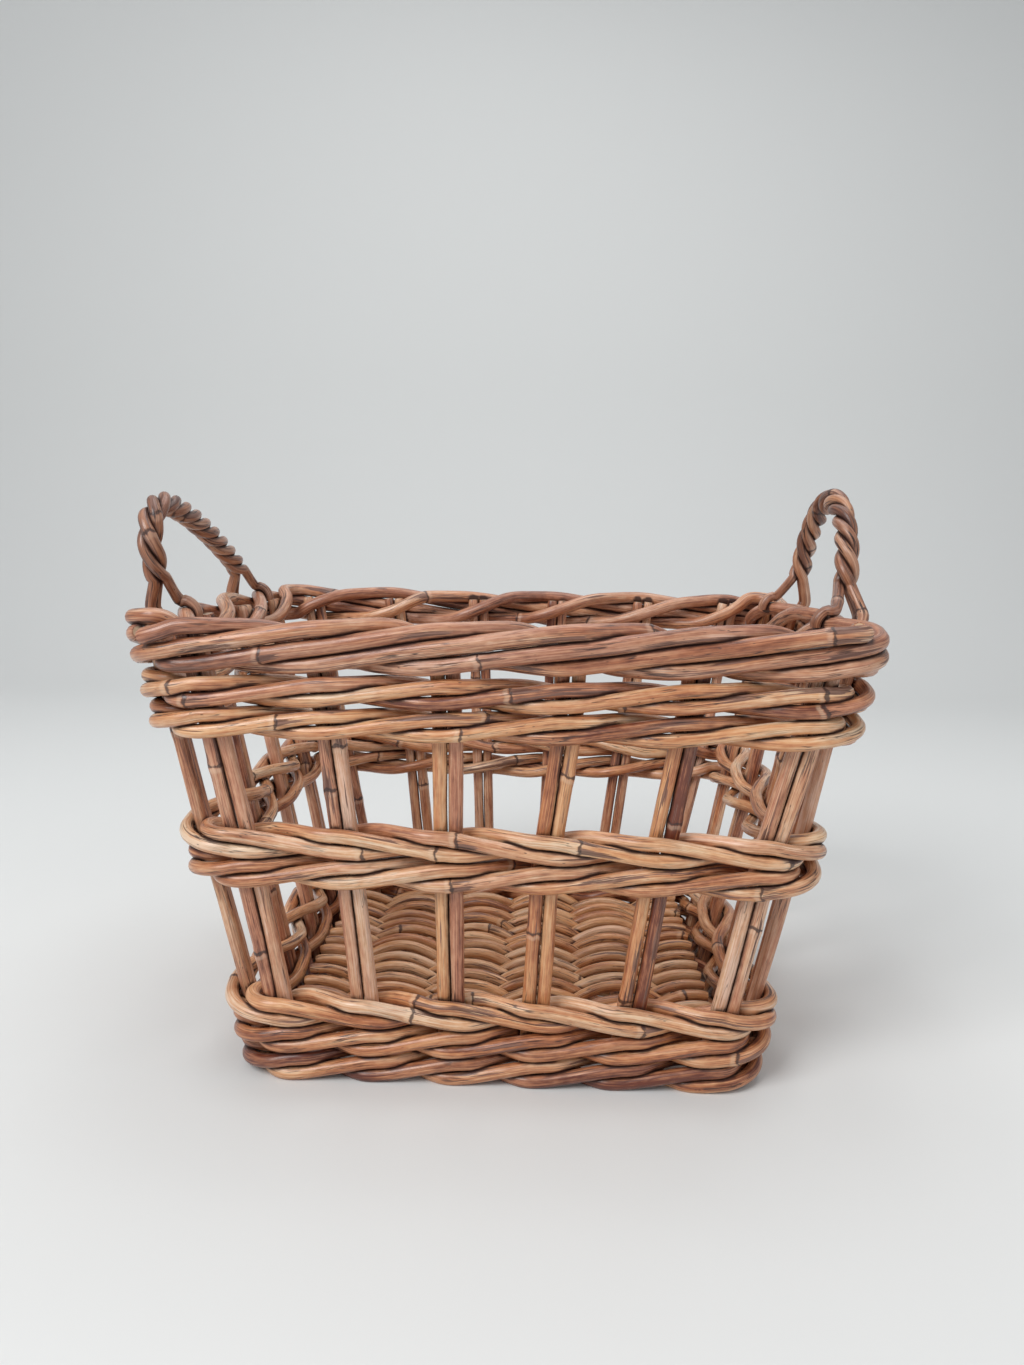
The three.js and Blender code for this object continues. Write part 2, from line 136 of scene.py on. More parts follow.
class Graph:
    """A node tree that is written as expressions."""

    def __init__(self, tree: bpy.types.NodeTree) -> None:
        """Start writing into a tree."""
        self.tree = tree

    def node(
        self,
        kind: str,
        settings: dict[str, Any] | None = None,
        sockets: dict[int | str, Any] | None = None,
        output: int | str = 0,
    ) -> Wire:
        """Add a node.

        Args:
            kind: The node's type.
            settings: Its properties, and a ramp's stops under "stops", set first.
            sockets: The value or wire of each input, by name or place.
            output: The output to return, by name or place.

        Returns:
            The chosen output, or a wire without one for a node that has no outputs.
        """
        made = self.tree.nodes.new(kind)
        for name, value in (settings or {}).items():
            if name == "stops":
                self._set_stops(made, value)
            else:
                setattr(made, name, value)
        for place, value in (sockets or {}).items():
            socket = made.inputs[place]
            if isinstance(value, Wire):
                self.tree.links.new(value.socket, socket)
            else:
                socket.default_value = value
        return Wire(self, made.outputs[output] if made.outputs else None)

    @staticmethod
    def _set_stops(ramp: bpy.types.Node, stops: Sequence[tuple[float, Colour]]) -> None:
        """Give a colour ramp its stops.

        Args:
            ramp: The ramp's node.
            stops: The place and the colour of each stop, in order.
        """
        elements = ramp.color_ramp.elements
        while len(elements) < len(stops):
            elements.new(0.5)
        for element, (place, colour) in zip(elements, stops):
            element.position = place
            element.color = (*colour, 1.0)

    def math(self, operation: str, *values: "Wire | float") -> Wire:
        """Return a Math node's result."""
        return self.node("ShaderNodeMath", {"operation": operation}, dict(enumerate(values)))

    def scaled(self, vector: Wire, factors: tuple[float, float, float]) -> Wire:
        """Return a vector multiplied by a factor for each axis."""
        sockets = {0: vector, 1: factors}
        return self.node("ShaderNodeVectorMath", {"operation": "MULTIPLY"}, sockets)

    def grown(self, vector: Wire, factor: Wire) -> Wire:
        """Return a vector multiplied by one factor."""
        sockets = {0: vector, "Scale": factor}
        return self.node("ShaderNodeVectorMath", {"operation": "SCALE"}, sockets)

    def between(self, value: Wire, low: float, high: float) -> Wire:
        """Return a smooth step.

        Args:
            value: The value that is looked at.
            low: Where the step begins.
            high: Where it ends.

        Returns:
            0 below low, 1 above high and a smooth rise between.
        """
        settings = {"interpolation_type": "SMOOTHSTEP"}
        names = {"Value": value, "From Min": low, "From Max": high}
        return self.node("ShaderNodeMapRange", settings, names)

    def band(self, value: Wire, rise: tuple[float, float], fall: tuple[float, float]) -> Wire:
        """Return a band with soft edges.

        Args:
            value: The value that is looked at.
            rise: Where the band begins, and where it is full.
            fall: Where it begins to fade, and where it is gone.

        Returns:
            1 in the band and 0 outside it.
        """
        return self.between(value, *rise) - self.between(value, *fall)

    def mixed(self, factor: "Wire | float", first: Any, second: Any) -> Wire:
        """Return a colour between two colours."""
        colours = {6: self._opaque(first), 7: self._opaque(second), 0: factor}
        return self.node("ShaderNodeMix", {"data_type": "RGBA"}, colours, output=2)

    @staticmethod
    def _opaque(colour: Any) -> Any:
        """Return a colour with its alpha, and a wire as it is."""
        return colour if isinstance(colour, Wire) else (*colour, 1.0)

    def noise(self, vector: Wire, scale: float = 1.0, detail: float = 2.0) -> Wire:
        """Return a cloudy value about 0.5."""
        names = {"Vector": vector, "Scale": scale, "Detail": detail}
        return self.node("ShaderNodeTexNoise", None, names)

    def from_joint(self, stretch: Wire) -> Wire:
        """Return the way from the nearest joint of the cane.

        Args:
            stretch: The place along the cane, counted in joint pitches.

        Returns:
            The way past the joint in the same count, below 0 before it.
        """
        settings = {"voronoi_dimensions": "1D"}
        names = {"W": stretch, "Scale": 1.0, "Randomness": 0.75}
        return stretch - self.node("ShaderNodeTexVoronoi", settings, names, "W")


def empty_graph(owner: bpy.types.Material | bpy.types.World) -> Graph:
    """Give a material or a world a node graph with nothing in it.

    Args:
        owner: The material or the world.

    Returns:
        The graph.
    """
    owner.use_nodes = True
    owner.node_tree.nodes.clear()
    return Graph(owner.node_tree)


# Finishes


@dataclass(frozen=True)
class CaneFinish:
    """The colour, marks and polish of one family of rods."""

    slot: str
    pale: Colour
    honey: Colour
    tan: Colour
    umber: Colour
    rose: Colour
    gold: Colour = (1.0, 0.87, 0.71)
    bark: float = 0.5
    marks: float = 0.6
    joint_pitch: float = 150.0
    roughness: float = 0.34
    polish: float = 0.45

    def material(self) -> bpy.types.Material:
        """Return the finish as a material."""
        material = bpy.data.materials.new(self.slot)
        CaneSkin(self, empty_graph(material)).paint()
        return material


@dataclass(frozen=True)
class Mark:
    """One kind of mark on the cane.

    The mask says where it is. The cover is the share of what lies under it that its paint
    hides, and the roughness and the height are what it adds there.
    """

    mask: Wire
    paint: Wire | Colour = (0.0, 0.0, 0.0)
    cover: float = 0.0
    roughness: float = 0.0
    height: float = 0.0


class CaneSkin:
    """The shader nodes of a finish.

    Each rod is marked in its own straightened space, in millimetres: across in x and y and
    lengthwise in z. Attributes on the rod give that place and the rod's tone, warmth, radius
    and painted crevice shade and dirt. The bare level is the height of the noise that no bark
    reaches on a finish without any, and the gain is how much lower it lies on one that is full of
    it.
    """

    CHARRED = srgb(50, 25, 20)
    BARK = srgb(78, 40, 30)
    SILVER_BARK = srgb(130, 94, 80)
    # Painted crevice shade and dirt: the near-black colour laid where rods lie close together.
    CREVICE_SHADE_AND_DIRT = srgb(54, 22, 13)
    PITH = srgb(216, 188, 154)
    RELIEF = 0.32 * MM
    JOINT_WOBBLE = 3.0
    JOINT_RAGGEDNESS = 2.0
    RING_WIDTH = 0.75
    RING_UNEVENNESS = 4.0
    BARE_LEVEL = 0.672
    BARK_GAIN = 0.1
    BARK_EDGE = 0.035

    def __init__(self, finish: CaneFinish, graph: Graph) -> None:
        """Lay out the patterns that most marks share.

        Args:
            finish: The finish that is painted.
            graph: The graph of its material.
        """
        self.finish = finish
        self.graph = graph
        self.place = graph.scaled(self._attribute("rod_space", "Vector"), (1 / MM,) * 3)
        self.fibres = self._mottle(across=2.5, along=0.07, detail=4)
        self.streaks = self._mottle(across=1.15, along=0.035, detail=3)
        self.dabs = self._mottle(across=0.6, along=0.22, detail=4)
        self.joint = self._from_joint()

    def paint(self) -> None:
        """Write the shader: the clean cane, and its marks one over the other."""
        graph, finish = self.graph, self.finish
        colour = self._ground()
        roughness: Wire | float = finish.roughness
        relief: Wire | float = 0.0
        for mark in self._marks():
            if mark.cover:
                colour = graph.mixed(mark.mask * mark.cover, colour, mark.paint)
            if mark.roughness:
                roughness = mark.mask * mark.roughness + roughness
            if mark.height:
                relief = mark.mask * mark.height + relief
        bump = graph.node("ShaderNodeBump", None, {
            "Strength": 0.9, "Distance": self.RELIEF, "Height": relief,
        })
        shader = graph.node("ShaderNodeBsdfPrincipled", None, {
            "Base Color": colour, "Roughness": roughness, "Normal": bump,
            "Coat Weight": finish.polish, "Coat Roughness": 0.24,
        })
        graph.node("ShaderNodeOutputMaterial", None, {"Surface": shader})

    def _marks(self) -> list[Mark]:
        """Return the marks, from the grain to the painted crevice shade and dirt on top."""
        graph, finish = self.graph, self.finish
        collar = graph.band(self.joint, rise=(-2.8, -1.6), fall=(-0.8, -0.2))
        rind = graph.mixed(graph.between(self.streaks, 0.4, 0.6), self.BARK, self.SILVER_BARK)
        worn = self._mottle(across=0.05, along=0.014, detail=2)
        worn = (0.4 + graph.between(worn, 0.45, 0.58)) * finish.marks
        return [
            Mark(self.fibres, roughness=0.12, height=0.35),
            Mark(self.streaks, height=0.55),
            Mark(self.dabs, height=0.3),
            Mark(self._grain(), finish.umber, cover=0.4, height=-0.2),
            Mark(collar, finish.pale, cover=0.35),
            Mark(self._bark(), rind, cover=0.88, roughness=0.18, height=0.12),
            Mark(self._cracks() * worn, self.CHARRED, cover=1.0, height=-0.7),
            Mark(self._specks() * worn, self.CHARRED, cover=1.0, height=-0.5),
            Mark(self._ring(), self.CHARRED, cover=0.85, height=-0.5),
            Mark(self._cut_end(), self.PITH, cover=0.8),
            # Painted shade and dirt: darkens the cane where another rod lies close, as shade in a
            # crevice would.
            Mark(self._crevice_shade_and_dirt(), self.CREVICE_SHADE_AND_DIRT, cover=0.95, roughness=0.3),
        ]

    def _attribute(self, name: str, output: str = "Fac") -> Wire:
        """Return an attribute of the rod."""
        return self.graph.node("ShaderNodeAttribute", {"attribute_name": name}, None, output)

    def _mottle(self, across: float, along: float, detail: float, scale: float = 1.0) -> Wire:
        """Return a cloudy value about 0.5, drawn out along the rod.

        Args:
            across: The clouds in a millimetre across the rod.
            along: The clouds in a millimetre along it.
            detail: How many finer layers are added.
            scale: A factor for both counts.

        Returns:
            The value.
        """
        place = self.graph.scaled(self.place, (across, across, along))
        return self.graph.noise(place, scale, detail)

    def _lines(self, across: float, along: float, detail: float) -> Wire:
        """Return a value that is 0 on thin lines along the rod and rises beside them."""
        return self.graph.math("ABSOLUTE", self._mottle(across, along, detail) - 0.5)

    def _from_joint(self) -> Wire:
        """Return the way along the rod from its nearest joint, in millimetres."""
        along = self.graph.node("ShaderNodeSeparateXYZ", None, {0: self.place}, "Z")
        wobble = (self._mottle(across=0.3, along=0.02, detail=0) - 0.5) * self.JOINT_WOBBLE
        ragged = (self.dabs - 0.5) * self.JOINT_RAGGEDNESS
        stretch = (along + wobble + ragged) / self.finish.joint_pitch
        return self.graph.from_joint(stretch) * self.finish.joint_pitch

    def _ring(self) -> Wire:
        """Return the dark ring of a joint, broad in some places and faint in others."""
        graph = self.graph
        width = self.RING_WIDTH + (self.dabs - 0.5) * self.RING_UNEVENNESS
        past = graph.between(self.joint - width, 0.0, 0.7)
        return graph.math("MAXIMUM", graph.between(self.joint, -0.4, 0.15) - past, 0.0)

    def _ground(self) -> Wire:
        """Return the clean cane's colour, with its streaks and its drift along the rod."""
        graph, finish = self.graph, self.finish
        tone, warmth = self._attribute("tone"), self._attribute("warmth")
        drift = self._mottle(across=0.12, along=0.013, detail=2)
        flush = self._mottle(across=0.2, along=0.02, detail=2, scale=1.3)
        slow = (drift - 0.5) * 1.5 + (self.streaks - 0.5) * 0.9
        shade = tone + slow + (self.fibres - 0.5) * 0.9 + (self.dabs - 0.5) * 0.6
        stops = [(0.0, finish.pale), (0.3, finish.honey), (0.62, finish.tan), (1.0, finish.umber)]
        plain = graph.node("ShaderNodeValToRGB", {"stops": stops}, {"Fac": shade})
        warm = warmth + (flush - 0.5) * 1.5
        rosy = self._tinted(plain, finish.rose)
        golden = self._tinted(plain, finish.gold)
        blushed = graph.mixed(graph.between(warm, 0.1, 0.6), rosy, plain)
        return graph.mixed(graph.between(warm, 0.45, 1.05), blushed, golden)

    def _tinted(self, colour: Wire, tint: Colour) -> Wire:
        """Return a colour seen through a tint.

        Args:
            colour: The colour.
            tint: The factor of each channel.

        Returns:
            The product.
        """
        settings = {"data_type": "RGBA", "blend_type": "MULTIPLY"}
        sockets = {0: 1.0, 6: colour, 7: (*tint, 1.0)}
        return self.graph.node("ShaderNodeMix", settings, sockets, output=2)

    def _bark(self) -> Wire:
        """Return where dark bark clings to the rod: in long ragged strips, and past joints."""
        strips = self._mottle(across=0.34, along=0.024, detail=5)
        past = self.graph.band(self.joint, rise=(0.3, 1.2), fall=(2.0, 14.0))
        ragged = strips + (self.fibres - 0.5) * 0.35 + past * 0.09
        low = self.BARE_LEVEL - self.BARK_GAIN * self.finish.bark
        return self.graph.between(ragged, low, low + self.BARK_EDGE)

    def _grain(self) -> Wire:
        """Return the thin dark lines of the grain, which come and go along the rod."""
        lines = self.graph.between(self._lines(across=1.5, along=0.028, detail=2), 0.0, 0.04)
        strength = self._mottle(across=0.3, along=0.05, detail=1)
        return (1 - lines) * self.graph.between(strength, 0.38, 0.6)

    def _cracks(self) -> Wire:
        """Return the fine dark splits along the rod."""
        lines = self.graph.between(self._lines(across=0.95, along=0.05, detail=1), 0.01, 0.05)
        stretches = self._mottle(across=0.5, along=0.06, detail=2)
        return (1 - lines) * self.graph.between(stretches, 0.5, 0.6)

    def _specks(self) -> Wire:
        """Return the small dark pores and scratches."""
        graph = self.graph
        cells = graph.scaled(self.place, (0.62, 0.62, 0.2))
        names = {"Vector": cells, "Scale": 1.0, "Randomness": 1.0}
        near = graph.node("ShaderNodeTexVoronoi", None, names, "Distance")
        kept = graph.between(graph.noise(cells, scale=0.7, detail=1), 0.48, 0.58)
        return (1 - graph.between(near, 0.05, 0.17)) * kept

    def _crevice_shade_and_dirt(self) -> Wire:
        """Return the painted shade and dirt in the crevices between rods, with an uneven edge."""
        crevice_shade_and_dirt = self._attribute("crevice_shade_and_dirt")
        return self.graph.between(crevice_shade_and_dirt + (self.dabs - 0.5) * 0.4, 0.18, 0.72)

    def _cut_end(self) -> Wire:
        """Return the pale core, which shows where a rod is cut."""
        girth = self._attribute("girth") * (1 / MM)
        across = self.graph.scaled(self.place, (1.0, 1.0, 0.0))
        settings = {"operation": "LENGTH"}
        out = self.graph.node("ShaderNodeVectorMath", settings, {0: across}, "Value") / girth
        return 1 - self.graph.between(out, 0.72, 0.86)


# The weave


@dataclass(frozen=True)
class StakeLine:
    """The line that the upright stakes stand on: a rounded rectangle that grows upwards.

    Its walls follow each other counter-clockwise. Each runs its own way and faces the way that
    the one before it runs.
    """

    ground_half_length: float = 100.4 * MM
    ground_half_width: float = 86.2 * MM
    end_flare: float = 0.202
    side_flare: float = 0.08
    corner_radius: float = 12.0 * MM
    stake_radius: float = 2.9 * MM
    rim_height: float = 191.6 * MM
    mid_band_height: float = 96.9 * MM
    long_side_stakes: int = 6
    end_stakes: int = 4

    WALLS = ("front", "right", "back", "left")
    WAYS = ((1, 0, 0), (0, 1, 0), (-1, 0, 0), (0, -1, 0))

    @property
    def count(self) -> int:
        """The number of places for a pair of stakes."""
        return 2 * (self.long_side_stakes + self.end_stakes)

    @property
    def setback(self) -> float:
        """The straight piece between a corner's bend and the stake beside it."""
        return 2 * self.stake_radius

    def half_length(self, height: float) -> float:
        """Return half the length between the end walls at a height."""
        return self.ground_half_length + self.end_flare * height

    def half_width(self, height: float) -> float:
        """Return half the width between the long walls at a height."""
        return self.ground_half_width + self.side_flare * height

    def wall(self, walk: float) -> tuple[int, float]:
        """Return the wall that a place is on.

        Args:
            walk: The way round, counter-clockwise, in stakes from the first one in front.

        Returns:
            The wall's number (front, right, back, left) and the steps along it.
        """
        steps = walk % self.count
        for number in range(len(self.WALLS) - 1):
            stakes = self.end_stakes if number % 2 else self.long_side_stakes
            if steps < stakes:
                return number, steps
            steps -= stakes
        return len(self.WALLS) - 1, steps

    def point(self, walk: float, height: float, offset: float) -> Vector:
        """Return a point of the wall.

        Args:
            walk: The way round, counter-clockwise, in stakes from the first one in front.
            height: The height over the ground.
            offset: The distance out of the stake line.

        Returns:
            The point in space.
        """
        number, steps = self.wall(walk)
        end_wall = number % 2 == 1
        gaps = (self.end_stakes if end_wall else self.long_side_stakes) - 1
        run = self.half_width(height) if end_wall else self.half_length(height)
        run -= self.corner_radius + self.setback
        away = (self.half_length(height) if end_wall else self.half_width(height)) + offset
        along = -run + 2 * run * min(steps, gaps) / gaps
        if steps > gaps:
            arc = self.corner_radius * math.pi / 2
            travelled = (steps - gaps) * (arc + 2 * self.setback)
            turned = min(max((travelled - self.setback) / self.corner_radius, 0), math.pi / 2)
            bend = self.corner_radius + offset
            along += min(travelled, self.setback) + bend * math.sin(turned)
            away -= bend * (1 - math.cos(turned)) + max(travelled - self.setback - arc, 0)
        forward, out = self.directions(number)
        return forward * along + out * away + Vector((0, 0, height))

    def directions(self, number: int) -> tuple[Vector, Vector]:
        """Return the way along a wall and the way out of it."""
        return Vector(self.WAYS[number]), Vector(self.WAYS[number - 1])


@dataclass
class Cane:
    """One rod: its path, its girth and the look that is its own.

    Rods with the same name are made as one piece. A rod's start is where it begins along the
    endless cane that all of them are cut from, so that no two look alike.
    """

    name: str
    node: str
    slot: str
    points: np.ndarray
    radius: float
    tone: float
    warmth: float
    facing: Vector | None = None
    squareness: float = 0.0
    stiffness: int = 2
    gives: float = 1.0
    start: float = 0.0
    rest: np.ndarray = field(init=False)

    def __post_init__(self) -> None:
        """Keep the path that the weave's rule gives."""
        self.rest = self.points.copy()


class Twist(Enum):
    """The way that a row's rods lean, seen from outside and from left to right."""

    RISING = 1
    FALLING = -1


@dataclass(frozen=True)
class Meeting:
    """The place where a rod's two ends meet, and how they spring out of the row there.

    A spring is the way that the end moves out of the wall and up. It fades over the reach,
    which is in stakes, as the place and the gap are.
    """

    walk: float
    gap: float = 0.03
    start_spring: tuple[float, float] = (0.0, 0.0)
    end_spring: tuple[float, float] = (0.0, 0.0)
    reach: float = 0.6

    def spring(self, after: float, before: float) -> np.ndarray:
        """Return the shift out and up at a place after the rod's start and before its end."""
        start, end = (max(1 - way / self.reach, 0) ** 2 for way in (after, before))
        return start * np.array(self.start_spring) + end * np.array(self.end_spring)


@dataclass(frozen=True)
class Course:
    """A row of rods that follow each other round the stakes.

    A rod's ends meet behind the stake that it starts from, or where its meeting says. TURN is
    how far from a stake a rod dips and humps most, CROSSING how far from it the rod begins and
    ends to change sides, and STEP the way between its points, all counted in stakes. A softness
    is a width too, and what it softens is averaged from as many places as there are TAPS.
    """

    name: str
    slot: str
    centre: float
    rods: int
    twist: Twist
    level_step: float
    radius: float
    stake_radius: float
    tones: tuple[float, ...]
    warmths: tuple[float, ...]
    seed: int
    dip: float = 0.9
    hump: float = 0.9
    stray: float = 0.45 * MM
    looseness: float = 0.12
    clearance: float = 0.25 * MM
    meetings: dict[int, Meeting] = field(default_factory=dict)

    TURN = 0.35
    CROSSING = (0.2, 0.8)
    LEVEL_SOFTNESS = 0.4
    SIDE_SOFTNESS = 0.3
    TAPS = 9
    STEP = 0.08
    SEED_STEP = 17

    @property
    def reach(self) -> float:
        """How far out of the stake line, or inside it, a rod lies at a stake."""
        return self.stake_radius + self.radius + self.clearance

    def level(self, phase: float, slack: float = 1.0) -> float:
        """Return a rod's level.

        Args:
            phase: The way along the rod, in stakes from the one that it goes behind.
            slack: How loosely it lies where it comes out and goes back in, about 1.

        Returns:
            The level, in steps over the middle of the row.
        """
        top = (self.rods - 2) / 2
        knots = (0, self.TURN, 1, self.rods - 1, self.rods - self.TURN, self.rods)
        levels = (0, -self.dip * top * slack, -top, top, self.hump * top * slack, 0)
        return self.twist.value * self._softened(phase, knots, levels, self.LEVEL_SOFTNESS)

    def side(self, phase: float) -> float:
        """Return the side of the stakes that a rod is on.

        Args:
            phase: The way along the rod, in stakes from the one that it goes behind.

        Returns:
            1 outside, -1 inside and a smooth change between.
        """
        leaving, reached = self.CROSSING
        knots = (0, leaving, reached, self.rods - reached, self.rods - leaving, self.rods)
        return self._softened(phase, knots, (-1, -1, 1, 1, -1, -1), self.SIDE_SOFTNESS)

    def _softened(
        self, phase: float, knots: Sequence[float], values: Sequence[float], width: float
    ) -> float:
        """Return a periodic broken line averaged over a width.

        Args:
            phase: The place on the line.
            knots: The places of its corners, from 0 to the number of rods.
            values: The line's values there.
            width: The width that is averaged.

        Returns:
            The softened line's value.
        """
        taps = phase + width * np.linspace(-0.5, 0.5, self.TAPS)
        weights = np.hanning(self.TAPS + 2)[1:-1]
        broken = np.interp(taps % self.rods, knots, values)
        return float(np.dot(broken, weights) / weights.sum())

    def canes(self, line: StakeLine) -> list[Cane]:
        """Return the row's rods, each on its open path round the basket.

        Args:
            line: The stake line that they are woven round.

        Returns:
            The rods, in the order of the stakes that they first go behind.
        """
        made = []
        for number in range(self.rods):
            name = f"{self.name}_rod_{number + 1}"
            made.append(Cane(
                name=f"{name}_cane",
                node=name,
                slot=self.slot,
                points=self._path(line, number),
                radius=self.radius,
                tone=self.tones[number],
                warmth=self.warmths[number],
                stiffness=8,
            ))
        return made

    def _path(self, line: StakeLine, number: int) -> np.ndarray:
        """Return the path of one rod.

        Args:
            line: The stake line that it is woven round.
            number: The rod's number, which is also the stake that it first goes behind.

        Returns:
            The points from its start to its end.
        """
        laps = math.ceil((line.count - number) / self.rods)
        meeting = self.meetings.get(number, Meeting(number))
        last = meeting.walk + self.rods * laps
        walks = np.arange(meeting.walk + meeting.gap, last - meeting.gap, self.STEP)
        wander = Wander(self.seed + self.SEED_STEP * number, self.stray)
        chance = random.Random(self.seed + number)
        slacks = [chance.uniform(1 - self.looseness, 1 + self.looseness) for _ in range(laps)]
        points = []
        for walk in walks:
            phase = walk - number
            drift = wander.at(walk)
            out, up = meeting.spring(walk - walks[0], walks[-1] - walk)
            level = self.level(phase, slacks[int(phase // self.rods) % laps])
            height = self.centre + level * self.level_step + drift[0] + up
            offset = self.side(phase) * self.reach + drift[1] + out
            points.append(line.point(walk, height, offset))
        return np.array(points)


class Wander:
    """The slow sideways drift of a rod that is never quite straight.

    It is a sum of waves. Each has its rate, in radians for each unit of the way along, and its
    starts in the two directions across the rod.
    """

    WAVES = 4
    RATES = (0.35, 1.9)
    TURN = (0, math.tau)

    def __init__(self, seed: int, amount: float) -> None:
        """Choose the waves of one rod.

        Args:
            seed: The rod's own number.
            amount: How far it drifts, as a rule.
        """
        chance = random.Random(seed)
        self.waves = [
            (chance.uniform(*self.RATES), chance.uniform(*self.TURN), chance.uniform(*self.TURN))
            for _ in range(self.WAVES)
        ]
        self.amount = amount / math.sqrt(self.WAVES)

    def at(self, walk: float) -> tuple[float, float]:
        """Return the drift at a place.

        Args:
            walk: The way along the rod.

        Returns:
            The drifts in two directions, which for a rod of a row are up and out.
        """
        up = sum(math.sin(rate * walk + first) for rate, first, _ in self.waves)
        out = sum(math.sin(rate * walk + second) for rate, _, second in self.waves)
        return self.amount * up, self.amount * out


@dataclass
class Stakes:
    """The upright rods, in pairs that stand side by side.

    Each pair leans a little along the wall, by chance or, where they are given for its place,
    by its own amounts at the three lean heights, in millimetres. One rod of a pair can be set
    further out than the other, by the pair's place and the rod's side. The first rods have the
    tones and warmths that are listed, and the others have theirs by chance.
    """

    line: StakeLine
    foot: float = 0.8 * MM
    top_drop: float = 5.0 * MM
    samples: int = 60
    seed: int = 41
    stray: float = 0.25 * MM
    wave_length: float = 30 * MM
    lean_heights: tuple[float, ...] = (20 * MM, 97 * MM, 150 * MM)
    leans: dict[int, tuple[float, ...]] = field(default_factory=lambda: {
        0: (-2.8, 0.8, 1.4), 1: (-2.2, 0.6, 1.8), 2: (-2.0, 0.0, 2.2),
        3: (-2.6, -2.0, 2.6), 4: (0.4, 1.0, 3.0), 5: (3.0, 1.6, 3.8),
        6: (0.0, 1.0, 4.0), 19: (5.0, 5.0, 4.0),
    })
    spread: float = 0.9
    tones: tuple[float, ...] = (
        0.62, 0.42, 0.46, 0.26, 0.36, 0.5, 0.56, 0.46, 0.5, 0.9, 0.32, 0.46,
    )
    warmths: tuple[float, ...] = (
        0.3, 0.2, 0.25, 0.3, 1.1, 0.15, 1.4, 1.5, 1.2, 0.8, 0.3, 0.5,
    )
    set_out: dict[tuple[int, int], float] = field(
        default_factory=lambda: {(6, 1): 1.5 * MM, (19, -1): 2.0 * MM}
    )

    OTHER_TONES = (0.3, 0.7)
    OTHER_WARMTHS = (0.0, 0.8)
    GIRTHS = (0.93, 1.0)
    FIRST_WANDER = 1000

    def canes(self) -> list[Cane]:
        """Return the forty uprights."""
        chance = random.Random(self.seed)
        made = []
        for place in range(self.line.count):
            number, steps = self.line.wall(place)
            node = f"stake_pair_{self.line.WALLS[number]}_{int(steps) + 1}"
            leans = [chance.gauss(0, self.spread) for _ in self.lean_heights]
            leans = self.leans.get(place, leans)
            for hand, sign in (("a", -1), ("b", 1)):
                index = 2 * place + (sign > 0)
                tone = chance.uniform(*self.OTHER_TONES)
                warmth = chance.uniform(*self.OTHER_WARMTHS)
                if index < len(self.tones):
                    tone, warmth = self.tones[index], self.warmths[index]
                made.append(Cane(
                    name=f"{node}_{hand}_cane",
                    node=node,
                    slot="upright_cane",
                    points=self._path(place, sign, leans),
                    radius=self.line.stake_radius * chance.uniform(*self.GIRTHS),
                    tone=tone,
                    warmth=warmth,
                    facing=self.line.directions(number)[1],
                    squareness=0.62,
                    stiffness=14,
                    gives=0.2,
                ))
        return made

    def _path(self, place: int, sign: int, leans: Sequence[float]) -> np.ndarray:
        """Return the path of one upright of a pair.

        Args:
            place: The pair's place round the basket.
            sign: -1 for the first rod of the pair and 1 for the second.
            leans: How far the pair leans at the lean heights, in millimetres.

        Returns:
            The points from the foot to the border.
        """
        forward = self.line.directions(self.line.wall(place)[0])[0]
        wander = Wander(self.FIRST_WANDER + 2 * place + sign, self.stray)
        shift = self.set_out.get((place, sign), 0.0)
        points = []
        for height in np.linspace(self.foot, self.line.rim_height - self.top_drop, self.samples):
            out, sideways = wander.at(height / self.wave_length)
            lean = float(np.interp(height, self.lean_heights, leans)) * MM
            beside = sign * self.line.stake_radius + sideways + lean
            points.append(self.line.point(place, height, out + shift) + forward * beside)
        return np.array(points)


@dataclass(frozen=True)
class HandleRod:
    """One of the three rods of a handle, and its place in the rope and at its feet."""

    name: str
    degrees: float
    outer: bool
    inward: float
    tone: float
    warmth: float


